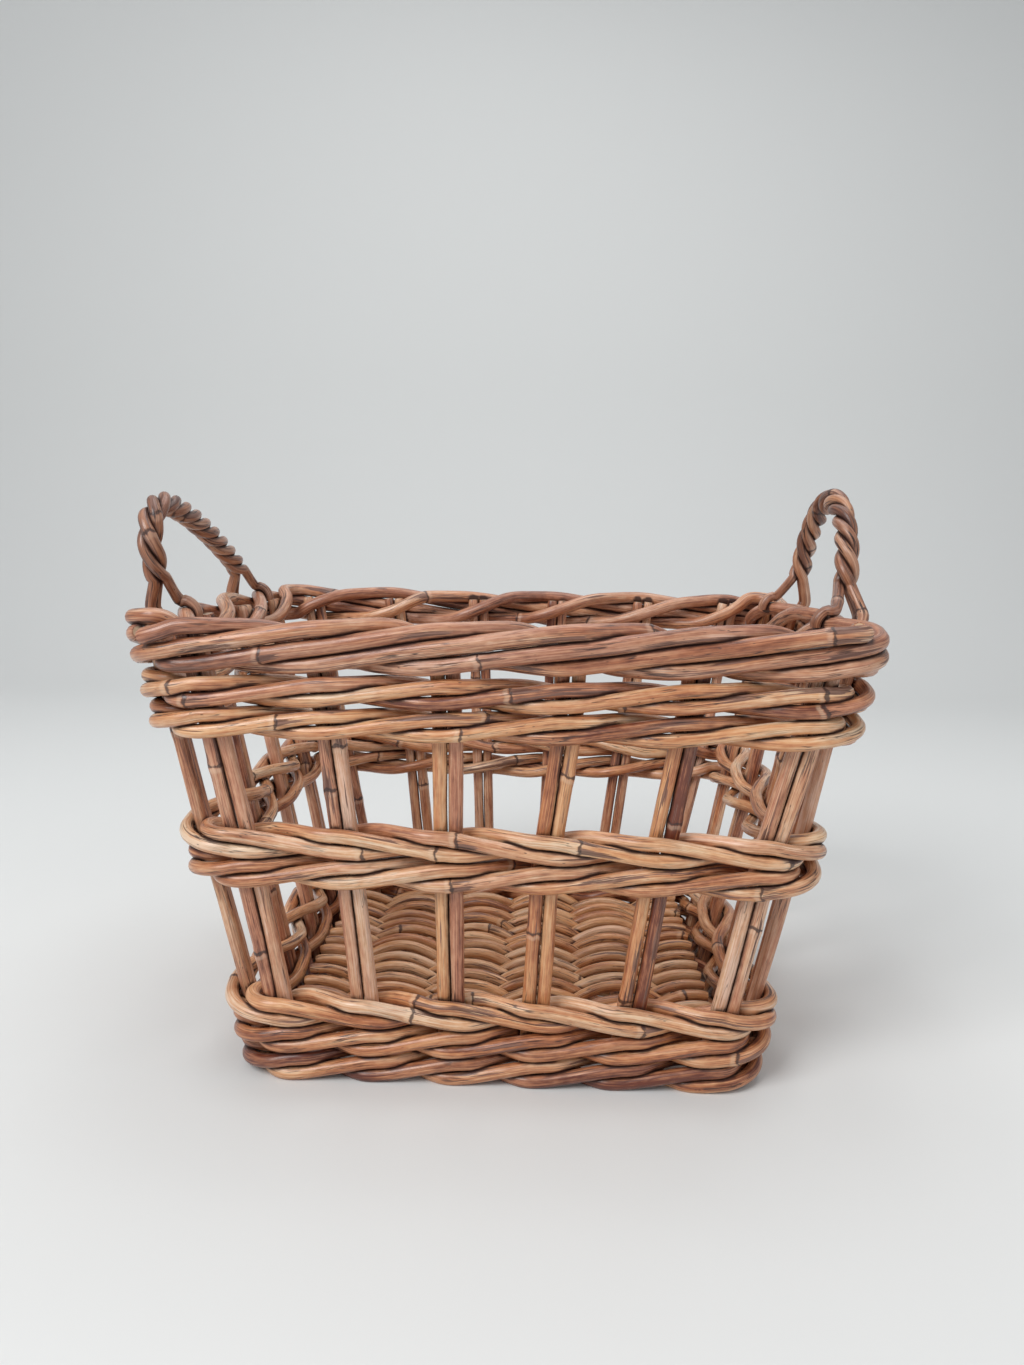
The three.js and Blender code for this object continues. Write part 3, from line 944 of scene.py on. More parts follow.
@dataclass
class Handle:
    """A hoop of three twisted rods over one end of the basket.

    The front and the back are where the rope ends along the wall, and the feet are where its
    rods meet the border. In the middle the hoop rises, moves along the wall by the skew and out
    by the lean, and is narrower by the share of the pinch. The slants are the shares of the way
    along from the foot to the rope's end at four heights of an outer rod, and the wrap degrees
    are the inner rod's places round the border's top rod.
    """

    line: StakeLine
    border: Course
    name: str
    side: int
    front: float
    back: float
    rise: float
    skew: float
    pinch: float
    turns: int = 4
    lean: float = 2.0 * MM
    front_foot: float = -50.0 * MM
    back_foot: float = 60.0 * MM
    outset: float = 8.0 * MM
    foot_rise: float = 12.0 * MM
    rod_radius: float = 2.42 * MM
    steps_per_turn: int = 20
    leg_gap: float = 0.1 * MM
    rope_gap: float = 0.05 * MM
    slant_start: float = 4.0 * MM
    spacing: float = 1.6 * MM

    SLANTS = (0.6, 0.42, 0.18, 0.0)
    WRAP_DEGREES = (95, 65, 35, 5, -20)
    SAMPLES = 401

    @property
    def rods(self) -> tuple[HandleRod, ...]:
        """The three rods: two that end outside the border and one that ends behind it."""
        spread = self.rod_radius + self.leg_gap
        return (
            HandleRod("outer_rod_1", -60, outer=True, inward=spread, tone=0.4, warmth=0.7),
            HandleRod("outer_rod_2", 60, outer=True, inward=-spread, tone=0.64, warmth=0.9),
            HandleRod("inner_rod", 180, outer=False, inward=0.0, tone=0.5, warmth=0.5),
        )

    def hoop(self, share: float) -> Vector:
        """Return the middle of the rope.

        Args:
            share: The share of the way over the hoop, from its front to its back.

        Returns:
            The point in space.
        """
        angle = math.pi * (1 - share)
        rim = self.line.rim_height
        lift = math.sin(angle)
        spread = (self.back - self.front) / 2 * math.cos(angle) * (1 - self.pinch * lift)
        return Vector((
            self.side * (self.line.half_length(rim) + self.outset + self.lean * lift),
            (self.front + self.back) / 2 + spread + self.skew * lift,
            rim + self.foot_rise + self.rise * lift,
        ))

    def shares(self, steps: int) -> np.ndarray:
        """Return shares of the way over that lie evenly along the hoop.

        Args:
            steps: The number of steps from the first share to the last.

        Returns:
            The shares, from 0 to 1.
        """
        fine = np.linspace(0, 1, self.SAMPLES)
        places = np.array([self.hoop(share) for share in fine])
        gone = np.cumsum(np.linalg.norm(np.diff(places, axis=0), axis=1))
        return np.interp(np.linspace(0, gone[-1], steps + 1), np.concatenate([[0], gone]), fine)

    def top_rod(self, along: float) -> tuple[float, float]:
        """Return the border's top rod beside the handle.

        Args:
            along: The place along the end wall, from its middle to the back.

        Returns:
            How far out of the stake line the rod lies, and its height.
        """
        line, border = self.line, self.border
        run = line.half_width(border.centre) - line.corner_radius - line.setback
        first = line.long_side_stakes
        if self.side < 0:
            first = 2 * line.long_side_stakes + line.end_stakes
        walk = first + (self.side * along / run + 1) * (line.end_stakes - 1) / 2
        highest = max((walk - number for number in range(border.rods)), key=border.level)
        height = border.centre + border.level(highest) * border.level_step
        return border.side(highest) * border.reach, height

    def beside(self, out: float, along: float, height: float) -> Vector:
        """Return a point at a distance out of the end wall."""
        return Vector((self.side * (self.line.half_length(height) + out), along, height))

    def leg(self, rod: HandleRod, rope_end: float, foot: float) -> list[Vector]:
        """Return the way down of one rod.

        Args:
            rod: The rod.
            rope_end: Where the rope ends along the wall.
            foot: Where the handle meets the border along the wall.

        Returns:
            The points from the rope's end to the rod's.
        """
        border = self.border
        along = foot - rod.inward * math.copysign(1, foot)
        contact = border.radius + self.rod_radius
        if rod.outer:
            top = border.centre + border.level_step
            low = border.centre - border.level_step - border.radius + self.rod_radius
            slant = rope_end - foot
            heights = (top + self.slant_start, top, (top + low) / 2, low)
            steps = zip(heights, self.SLANTS)
            out = border.reach + contact
            return [self.beside(out, along + slant * share, height) for height, share in steps]
        out, height = self.top_rod(along)
        wrapped = []
        for degrees in self.WRAP_DEGREES:
            angle = math.radians(degrees)
            place = out - contact * math.cos(angle)
            wrapped.append(self.beside(place, along, height + contact * math.sin(angle)))
        return wrapped

    def rope(self, rod: HandleRod) -> list[Vector]:
        """Return the way of one rod round the hoop.

        Args:
            rod: The rod.

        Returns:
            The points from the rope's front end to its back end.
        """
        steps = self.turns * self.steps_per_turn
        around = 2 / math.sqrt(3) * self.rod_radius + self.rope_gap
        nudge = 0.5 / steps
        points = []
        for step, share in enumerate(self.shares(steps)):
            along = (self.hoop(share + nudge) - self.hoop(share - nudge)).normalized()
            out = Vector((self.side, 0, 0))
            out = (out - along * out.dot(along)).normalized()
            across = along.cross(out)
            angle = math.tau * step / self.steps_per_turn + math.radians(rod.degrees) * self.side
            offset = out * math.cos(angle) - across * math.sin(angle)
            points.append(self.hoop(share) + offset * around)
        return points

    def canes(self) -> list[Cane]:
        """Return the handle's three rods."""
        made = []
        for rod in self.rods:
            front = self.leg(rod, self.front, self.front_foot)
            back = self.leg(rod, self.back, self.back_foot)
            path = np.array(front[::-1] + self.rope(rod) + back)
            name = f"{self.name}_handle_{rod.name}"
            made.append(Cane(
                name=f"{name}_cane",
                node=name,
                slot="handle_cane",
                points=even_path(path, self.spacing),
                radius=self.rod_radius,
                tone=rod.tone,
                warmth=rod.warmth,
                gives=0.5,
            ))
        return made


def even_path(points: np.ndarray, step: float, refinement: int = 8) -> np.ndarray:
    """Return a path's points at even steps along a smooth curve through it.

    Args:
        points: The path's points.
        step: The distance between two points of the result.
        refinement: The pieces that the curve between two points is measured in.

    Returns:
        The new points, from the first to the last.
    """
    spread = np.vstack([2 * points[0] - points[1], points, 2 * points[-1] - points[-2]])
    fine = []
    for a, b, c, d in zip(spread, spread[1:], spread[2:], spread[3:]):
        for share in np.linspace(0, 1, refinement, endpoint=False):
            fine.append(0.5 * (
                2 * b + (c - a) * share + (2 * a - 5 * b + 4 * c - d) * share ** 2
                + (3 * b - a - 3 * c + d) * share ** 3
            ))
    fine = np.array(fine + [points[-1]])
    gone = np.concatenate([[0], np.cumsum(np.linalg.norm(np.diff(fine, axis=0), axis=1))])
    places = np.linspace(0, gone[-1], max(int(gone[-1] / step), 2) + 1)
    return np.stack([np.interp(places, gone, fine[:, axis]) for axis in range(3)], axis=1)


def point_tree(points: np.ndarray) -> KDTree:
    """Sort points by place.

    Args:
        points: The points.

    Returns:
        A tree that finds the points near a place, by their index.
    """
    tree = KDTree(len(points))
    for index, point in enumerate(points):
        tree.insert(point, index)
    tree.balance()
    return tree


@dataclass
class Base:
    """The woven bottom: sticks from front to back, and rods over and under them."""

    line: StakeLine
    centre_height: float = 14.0 * MM
    sticks: int = 6
    stick_inset: float = 6.0 * MM
    stick_radius: float = 2.7 * MM
    rows: int = 28
    weaver_radius: float = 2.6 * MM
    reach_inside: float = 9.5 * MM
    stray: float = 0.75 * MM
    waves_per_stick: float = 2.2
    crest_fullness: float = 0.85
    edge_slack: float = 0.6
    columns: int = 100
    stick_spacing: float = 4 * MM
    seed: int = 7

    TONES = (0.15, 0.5)
    WARMTHS = (0.5, 1.0)
    GIRTHS = (0.9, 1.0)
    FIRST_WANDER = 300

    @property
    def swing(self) -> float:
        """How far a rod swings up and down to pass the sticks."""
        return self.stick_radius + self.weaver_radius

    @property
    def half_length(self) -> float:
        """Half the length of the mat."""
        lowest = self.centre_height - self.swing - self.weaver_radius
        return self.line.half_length(lowest) - self.reach_inside

    @property
    def half_width(self) -> float:
        """Half the width of the mat."""
        return self.line.half_width(0) - self.reach_inside

    @property
    def stick_pitch(self) -> float:
        """The distance between two sticks."""
        return 2 * (self.half_length - self.stick_inset) / (self.sticks - 1)

    def canes(self) -> list[Cane]:
        """Return the sticks and the woven rods."""
        chance = random.Random(self.seed)
        return [self._stick(stick) for stick in range(self.sticks)] + [
            self._row(row, chance) for row in range(self.rows)
        ]

    def _stick(self, stick: int) -> Cane:
        """Return one stick.

        Args:
            stick: Its number, from the left.

        Returns:
            The stick.
        """
        x = self.stick_inset - self.half_length + stick * self.stick_pitch
        ends = [(x, side * self.half_width, self.centre_height) for side in (-1, 1)]
        return Cane(
            name=f"base_stick_{stick + 1}_cane",
            node=f"base_stick_{stick + 1}",
            slot="base_stick_cane",
            points=even_path(np.array(ends), self.stick_spacing),
            radius=self.stick_radius,
            tone=0.62,
            warmth=0.4,
        )

    def _row(self, row: int, chance: random.Random) -> Cane:
        """Return one woven rod of the mat.

        Args:
            row: The rod's number, from the front.
            chance: The source of its girth and colour.

        Returns:
            The rod, which lies looser in the middle of the mat than at its ends.
        """
        edge = self.half_width - self.weaver_radius
        y = edge * (2 * row / (self.rows - 1) - 1)
        wander = Wander(self.FIRST_WANDER + row, self.stray)
        reach = self.half_length
        first = self.stick_inset - reach
        points = []
        for x in np.linspace(-reach, reach, self.columns):
            wave = math.cos(math.pi * (x - first) / self.stick_pitch)
            crest = math.copysign(abs(wave) ** self.crest_fullness, wave) * (-1) ** row
            up, sideways = wander.at(self.waves_per_stick * x / self.stick_pitch)
            inside = min((reach - abs(x)) / self.stick_pitch, 1)
            slack = self.edge_slack + (1 - self.edge_slack) * inside
            points.append((
                x, y + sideways * slack, self.centre_height + self.swing * crest + up * slack
            ))
        return Cane(
            name="base_weaver_canes",
            node="base_weave",
            slot="base_cane",
            points=np.array(points),
            radius=self.weaver_radius * chance.uniform(*self.GIRTHS),
            tone=chance.uniform(*self.TONES),
            warmth=chance.uniform(*self.WARMTHS),
        )


class Press:
    """Presses rods apart where they touch, and keeps each one in its own smooth shape.

    Points of two rods that lie nearer than NEAR are looked at, and TINY keeps a distance of
    nothing from being divided by.
    """

    NEAR = 9 * MM
    TINY = 1e-6

    def __init__(
        self, canes: Sequence[Cane], squeeze: float = 0.12 * MM, wear: float = 0.5 * MM
    ) -> None:
        """Gather the rods' points.

        Args:
            canes: The rods that can touch.
            squeeze: How far two rods may sink into each other.
            wear: How far a rod may sink into the ground, which it is worn flat on.
        """
        self.canes = canes
        self.squeeze = squeeze
        self.wear = wear
        self.owner = np.concatenate([np.full(len(c.points), i) for i, c in enumerate(canes)])
        self.radius = np.array([c.radius for c in canes])[self.owner]
        self.gives = np.array([c.gives for c in canes])[self.owner]
        starts = np.cumsum([0] + [len(c.points) for c in canes])
        self.parts = [slice(start, end) for start, end in zip(starts, starts[1:])]

    def run(self, rounds: int = 60, refresh: int = 10) -> None:
        """Press the rods, and write their new points back to them.

        Args:
            rounds: How often they are pressed.
            refresh: The rounds after which it is looked up again which rods are close.
        """
        rest = np.concatenate([cane.rest for cane in self.canes])
        moved = np.zeros_like(rest)
        for turn in range(rounds):
            if turn % refresh == 0:
                first, second = self._neighbours(rest + moved)
            moved += self._pushes(rest + moved, first, second)
            moved[:, 2] += np.maximum(self.radius - self.wear - (rest + moved)[:, 2], 0)
            for cane, part in zip(self.canes, self.parts):
                moved[part] = self._smoothed(moved[part], cane.stiffness)
        for cane, part in zip(self.canes, self.parts):
            cane.points = (rest + moved)[part]

    def _neighbours(self, points: np.ndarray) -> tuple[np.ndarray, np.ndarray]:
        """Find the points of different rods that lie close.

        Args:
            points: Where the points are.

        Returns:
            The first and the second point of each close pair.
        """
        tree = point_tree(points)
        pairs = []
        for index, point in enumerate(points):
            for _, other, _ in tree.find_range(point, self.NEAR):
                if other > index and self.owner[other] != self.owner[index]:
                    pairs.append((index, other))
        found = np.array(pairs)
        return found[:, 0], found[:, 1]

    def _pushes(self, points: np.ndarray, first: np.ndarray, second: np.ndarray) -> np.ndarray:
        """Return how far each point is pushed by the rods that it sinks into.

        Args:
            points: Where the points are.
            first: The first point of each close pair.
            second: The second point of each close pair.

        Returns:
            The push on each point.
        """
        between = points[first] - points[second]
        distance = np.linalg.norm(between, axis=1)
        wanted = self.radius[first] + self.radius[second] - self.squeeze
        depth = np.maximum(wanted - distance, 0)
        ways = between / np.maximum(distance, self.TINY)[:, None] * depth[:, None]
        total = self.gives[first] + self.gives[second]
        push = np.zeros_like(points)
        count = np.zeros(len(points))
        touching = depth > 0
        for index, sign in ((first, 1), (second, -1)):
            share = (sign * self.gives[index] / total)[:, None]
            np.add.at(push, index, ways * share)
            np.add.at(count, index, touching)
        return push / np.maximum(count, 1)[:, None]

    @staticmethod
    def _smoothed(moved: np.ndarray, passes: int) -> np.ndarray:
        """Return a rod's shifts, evened out along it.

        Args:
            moved: The shift of each of its points.
            passes: How often each is averaged with those beside it.

        Returns:
            The new shifts.
        """
        for _ in range(passes):
            padded = np.vstack([moved[:1], moved, moved[-1:]])
            moved = 0.5 * moved + 0.25 * (padded[:-2] + padded[2:])
        return moved


# From paths to cane


class CaneSweep:
    """The node tree that grows natural rods along paths.

    Beside the tree's inputs, the constants are the length of a rod's slow thickening, where the
    swelling beside a joint begins and ends, the lumps in a metre across and along the rod, and
    the share of its girth that a cut end keeps.
    """

    SETTINGS = {
        "Sides": 14,
        "Ring Spacing": 1.6 * MM,
        "Joint Pitch": 150.0 * MM,
        "Joint Swell": 0.28 * MM,
        "Unevenness": 0.3 * MM,
        "Girth Drift": 0.10,
        "Squareness": 0.0,
        "End Rounding": 0.7 * MM,
    }
    GIRTH_WAVE = 45 * MM
    JOINT_FLANK = (0.4 * MM, 4.5 * MM)
    LUMPS_PER_METRE = (220, 220, 42)
    CUT_GIRTH = 0.84

    def __init__(self) -> None:
        """Build the tree."""
        self.tree = bpy.data.node_groups.new("cane_sweep", "GeometryNodeTree")
        self.identifiers: dict[str, str] = {}
        self._input("Paths", "NodeSocketGeometry")
        for name, value in self.SETTINGS.items():
            kind = "NodeSocketInt" if isinstance(value, int) else "NodeSocketFloat"
            self._input(name, kind, value)
        self._input("Cane", "NodeSocketMaterial")
        self.tree.interface.new_socket(
            "Rods", in_out="OUTPUT", socket_type="NodeSocketGeometry"
        )
        self.graph = Graph(self.tree)
        self.given = self.tree.nodes.new("NodeGroupInput")
        self._grow()

    def _input(self, name: str, kind: str, value: Any = None) -> None:
        """Add a named input to the tree.

        Args:
            name: Its name.
            kind: Its socket's type.
            value: Its value until another is set.
        """
        socket = self.tree.interface.new_socket(name, in_out="INPUT", socket_type=kind)
        if value is not None:
            socket.default_value = value
        self.identifiers[name] = socket.identifier

    def _get(self, name: str) -> Wire:
        """Return one of the tree's inputs."""
        return Wire(self.graph, self.given.outputs[name])

    def _attribute(self, name: str, kind: str = "FLOAT") -> Wire:
        """Return an attribute of the path."""
        return self.graph.node("GeometryNodeInputNamedAttribute", {"data_type": kind}, {0: name})

    def _store(self, shape: Wire, name: str, value: Wire, kind: str = "FLOAT") -> Wire:
        """Keep a value on a shape's points.

        Args:
            shape: The curve or the skin.
            name: The attribute's name.
            value: The value.
            kind: The attribute's type.

        Returns:
            The shape with the value.
        """
        settings = {"data_type": kind, "domain": "POINT"}
        sockets = {"Geometry": shape, "Name": name, "Value": value}
        return self.graph.node("GeometryNodeStoreNamedAttribute", settings, sockets)

    def _grow(self) -> None:
        """Write the tree: a smooth curve, its girth, its skin and its small lumps."""
        graph = self.graph
        curve = graph.node("GeometryNodeMeshToCurve", None, {0: self._get("Paths")})
        settings = {"spline_type": "CATMULL_ROM"}
        curve = graph.node("GeometryNodeCurveSplineType", settings, {0: curve})
        spacing = self._get("Ring Spacing")
        curve = graph.node("GeometryNodeResampleCurve", {"mode": "LENGTH"}, {
            "Curve": curve, "Length": spacing,
        })
        normal = self._attribute("facing", "FLOAT_VECTOR")
        chosen = self._attribute("has_facing")
        curve = graph.node("GeometryNodeSetCurveNormal", {"mode": "FREE"}, {
            0: curve, 1: graph.math("GREATER_THAN", chosen, 0.5), "Normal": normal,
        })
        length = graph.node("GeometryNodeSplineParameter", output="Length")
        whole = graph.node("GeometryNodeSplineLength", output="Length")
        along = length + self._attribute("reach")
        to_end = graph.math("MINIMUM", length, whole - length)
        full = graph.between(to_end / self._get("End Rounding"), 0.0, 1.0)
        rounding = self.CUT_GIRTH + (1 - self.CUT_GIRTH) * full
        girth = self._attribute("girth") * self._natural_girth(along)
        swell = self._get("Joint Swell") * self._joint(along)
        curve = self._store(curve, "along", along)
        curve = self._store(curve, "thick", (girth + swell) * rounding)
        skin = graph.node("GeometryNodeCurveToMesh", None, {
            "Curve": curve, "Profile Curve": self._profile(), "Scale": self._attribute("thick"),
            "Fill Caps": True,
        })
        skin = self._keep_rod_space(skin)
        skin = self._lumps(skin)
        skin = graph.node("GeometryNodeSetShadeSmooth", None, {0: skin})
        skin = graph.node("GeometryNodeRealizeInstances", None, {0: skin})
        sockets = {0: skin, "Material": self._get("Cane")}
        skin = graph.node("GeometryNodeSetMaterial", None, sockets)
        for name in ("facing", "has_facing", "reach", "along", "around"):
            skin = graph.node("GeometryNodeRemoveAttribute", None, {0: skin, "Name": name})
        graph.node("NodeGroupOutput", None, {0: skin})

    def _natural_girth(self, along: Wire) -> Wire:
        """Return the rod's slow thickening and thinning.

        Args:
            along: The place along the endless cane.

        Returns:
            A factor about 1.
        """
        settings = {"noise_dimensions": "1D"}
        names = {"W": along / self.GIRTH_WAVE, "Scale": 1.0, "Detail": 1.0}
        drift = self.graph.node("ShaderNodeTexNoise", settings, names) - 0.5
        return 1 + drift * self._get("Girth Drift") * 2

    def _joint(self, along: Wire) -> Wire:
        """Return where the joints of the cane are.

        Args:
            along: The place along the endless cane.

        Returns:
            1 at a joint and 0 a few millimetres away from it.
        """
        pitch = self._get("Joint Pitch")
        away = self.graph.math("ABSOLUTE", self.graph.from_joint(along / pitch) * pitch)
        return 1 - self.graph.between(away, *self.JOINT_FLANK)

    def _profile(self) -> Wire:
        """Return the rod's section: a circle, squared as much as is asked."""
        graph = self.graph
        circle = graph.node("GeometryNodeCurvePrimitiveCircle", {"mode": "RADIUS"}, {
            "Resolution": self._get("Sides"), "Radius": 1.0,
        })
        place = graph.node("GeometryNodeInputPosition")
        x = graph.node("ShaderNodeSeparateXYZ", None, {0: place}, "X")
        y = graph.node("ShaderNodeSeparateXYZ", None, {0: place}, "Y")
        fourth = graph.math("POWER", x, 4.0) + graph.math("POWER", y, 4.0)
        square = graph.math("POWER", fourth, -0.25)
        squared = graph.grown(place, 1 + (square - 1) * self._get("Squareness"))
        circle = graph.node("GeometryNodeSetPosition", None, {0: circle, "Position": squared})
        place = graph.node("GeometryNodeInputPosition")
        return self._store(circle, "around", place, "FLOAT_VECTOR")

    def _keep_rod_space(self, skin: Wire) -> Wire:
        """Keep each point's place in the straightened rod.

        Args:
            skin: The rod's skin.

        Returns:
            The skin with the place as an attribute.
        """
        graph = self.graph
        around = self._attribute("around", "FLOAT_VECTOR")
        across = graph.grown(around, self._attribute("girth"))
        lengthwise = graph.node("ShaderNodeCombineXYZ", None, {2: self._attribute("along")})
        place = graph.node("ShaderNodeVectorMath", {"operation": "ADD"}, {
            0: across, 1: lengthwise,
        })
        return self._store(skin, "rod_space", place, "FLOAT_VECTOR")

    def _lumps(self, skin: Wire) -> Wire:
        """Give the skin its shallow lumps and flats.

        Args:
            skin: The rod's skin, with its places in the straightened rod.

        Returns:
            The uneven skin.
        """
        graph = self.graph
        place = graph.scaled(self._attribute("rod_space", "FLOAT_VECTOR"), self.LUMPS_PER_METRE)
        lump = (graph.noise(place, detail=1) - 0.5) * self._get("Unevenness")
        offset = graph.grown(graph.node("GeometryNodeInputNormal"), lump)
        return graph.node("GeometryNodeSetPosition", None, {0: skin, "Offset": offset})

    def path_object(self, canes: Sequence[Cane], settings: dict[str, Any]) -> bpy.types.Object:
        """Return an object that holds rods' paths and the modifier that will grow them.

        Args:
            canes: The rods of one piece.
            settings: Values for the tree's named inputs.

        Returns:
            The object, at the origin.
        """
        name = canes[0].name
        places, links = [], []
        values = {key: [] for key in ("girth", "tone", "warmth", "reach", "has_facing")}
        facings: list[float] = []
        for cane in canes:
            count, first = len(cane.points), len(places)
            places += cane.points.tolist()
            links += [(first + i, first + i + 1) for i in range(count - 1)]
            own = (cane.radius, cane.tone, cane.warmth, cane.start, float(bool(cane.facing)))
            for key, value in zip(values, own):
                values[key] += [value] * count
            facings += list(cane.facing or Vector((0, 0, 1))) * count
        mesh = bpy.data.meshes.new(name)
        mesh.from_pydata(places, links, [])
        for key, row in values.items():
            mesh.attributes.new(key, "FLOAT", "POINT").data.foreach_set("value", row)
        rows = mesh.attributes.new("facing", "FLOAT_VECTOR", "POINT")
        rows.data.foreach_set("vector", facings)
        made = placed(name, mesh)
        modifier = made.modifiers.new("sweep", "NODES")
        modifier.node_group = self.tree
        for key, value in settings.items():
            modifier[self.identifiers[key]] = value
        return made


class Dresser:
    """Turns rods into finished pieces of the basket.

    Rods are cut from one endless cane at steps of the cane length, and edges sharper than the
    sharp angle, as at a rod's end, are shown sharp.
    """

    CANE_LENGTH = 1.7
    SHARP_DEGREES = 55

    def __init__(self, finishes: Iterable[CaneFinish]) -> None:
        """Make the node tree and the materials."""
        self.sweep = CaneSweep()
        self.finishes = {finish.slot: finish for finish in finishes}
        self.materials = {slot: finish.material() for slot, finish in self.finishes.items()}

    def dress(self, canes: Sequence[Cane]) -> None:
        """Grow the rods, paint shade and dirt into the crevices where they meet and hand them to
        the frame.

        Args:
            canes: All the rods. Those of one name become one piece.
        """
        bundles: dict[str, list[Cane]] = {}
        for number, cane in enumerate(canes):
            cane.start = self.CANE_LENGTH * number
            bundles.setdefault(cane.name, []).append(cane)
        pieces = []
        for bundle in bundles.values():
            finish = self.finishes[bundle[0].slot]
            pieces.append(self.sweep.path_object(bundle, {
                "Squareness": bundle[0].squareness,
                "Joint Pitch": finish.joint_pitch * MM,
                "Cane": self.materials[finish.slot],
            }))
        depsgraph = bpy.context.evaluated_depsgraph_get()
        meshes = [bpy.data.meshes.new_from_object(p.evaluated_get(depsgraph)) for p in pieces]
        crevice_shade_and_dirt = CreviceShadeAndDirt(canes)
        for bundle, piece, mesh in zip(bundles.values(), pieces, meshes):
            piece.modifiers.clear()
            piece.data = mesh
            mesh.set_sharp_from_angle(angle=math.radians(self.SHARP_DEGREES))
            crevice_shade_and_dirt.settle(mesh)
            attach(piece, "root")
            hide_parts(bundle[0].node)
            LOG.info("%s: %d faces", piece.name, len(mesh.polygons))


class CreviceShadeAndDirt:
    """Painted shade, with some dirt, in the crevices between rods.

    The rods' middles are sampled at the spacing, and among the nearest samples the first one of
    another rod counts. The fading is the power with which the painted shade and dirt fall off over
    its reach.
    """

    SPACING = 1.8 * MM
    NEAREST = 9
    FADING = 1.5

    def __init__(self, canes: Sequence[Cane], reach: float = 2.6 * MM) -> None:
        """Gather the middles of all the rods.

        Args:
            canes: All the rods.
            reach: How far from the next rod's skin the painted shade and dirt end.
        """
        self.reach = reach
        samples = [even_path(cane.points, self.SPACING) for cane in canes]
        self.owner = [i for i, part in enumerate(samples) for _ in part]
        self.radii = [cane.radius for cane in canes]
        self.tree = point_tree(np.concatenate(samples))

    def settle(self, mesh: bpy.types.Mesh) -> None:
        """Store how deep in a crevice each point of a piece lies, from 0 to 1.

        Args:
            mesh: The piece's mesh.
        """
        count = len(mesh.vertices)
        places = np.empty(count * 3)
        mesh.vertices.foreach_get("co", places)
        values = np.zeros(count)
        for index, place in enumerate(places.reshape(-1, 3)):
            found = self.tree.find_n(place, self.NEAREST)
            own = self.owner[found[0][1]]
            for _, other, distance in found[1:]:
                if self.owner[other] != own:
                    gap = max(distance - self.radii[self.owner[other]], 0.0)
                    # Painted shade and dirt: the value rises towards 1 near another rod's skin,
                    # which darkens the colour there.
                    values[index] = max(1 - gap / self.reach, 0.0) ** self.FADING
                    break
        mesh.attributes.new("crevice_shade_and_dirt", "FLOAT", "POINT").data.foreach_set("value", values)


# The basket


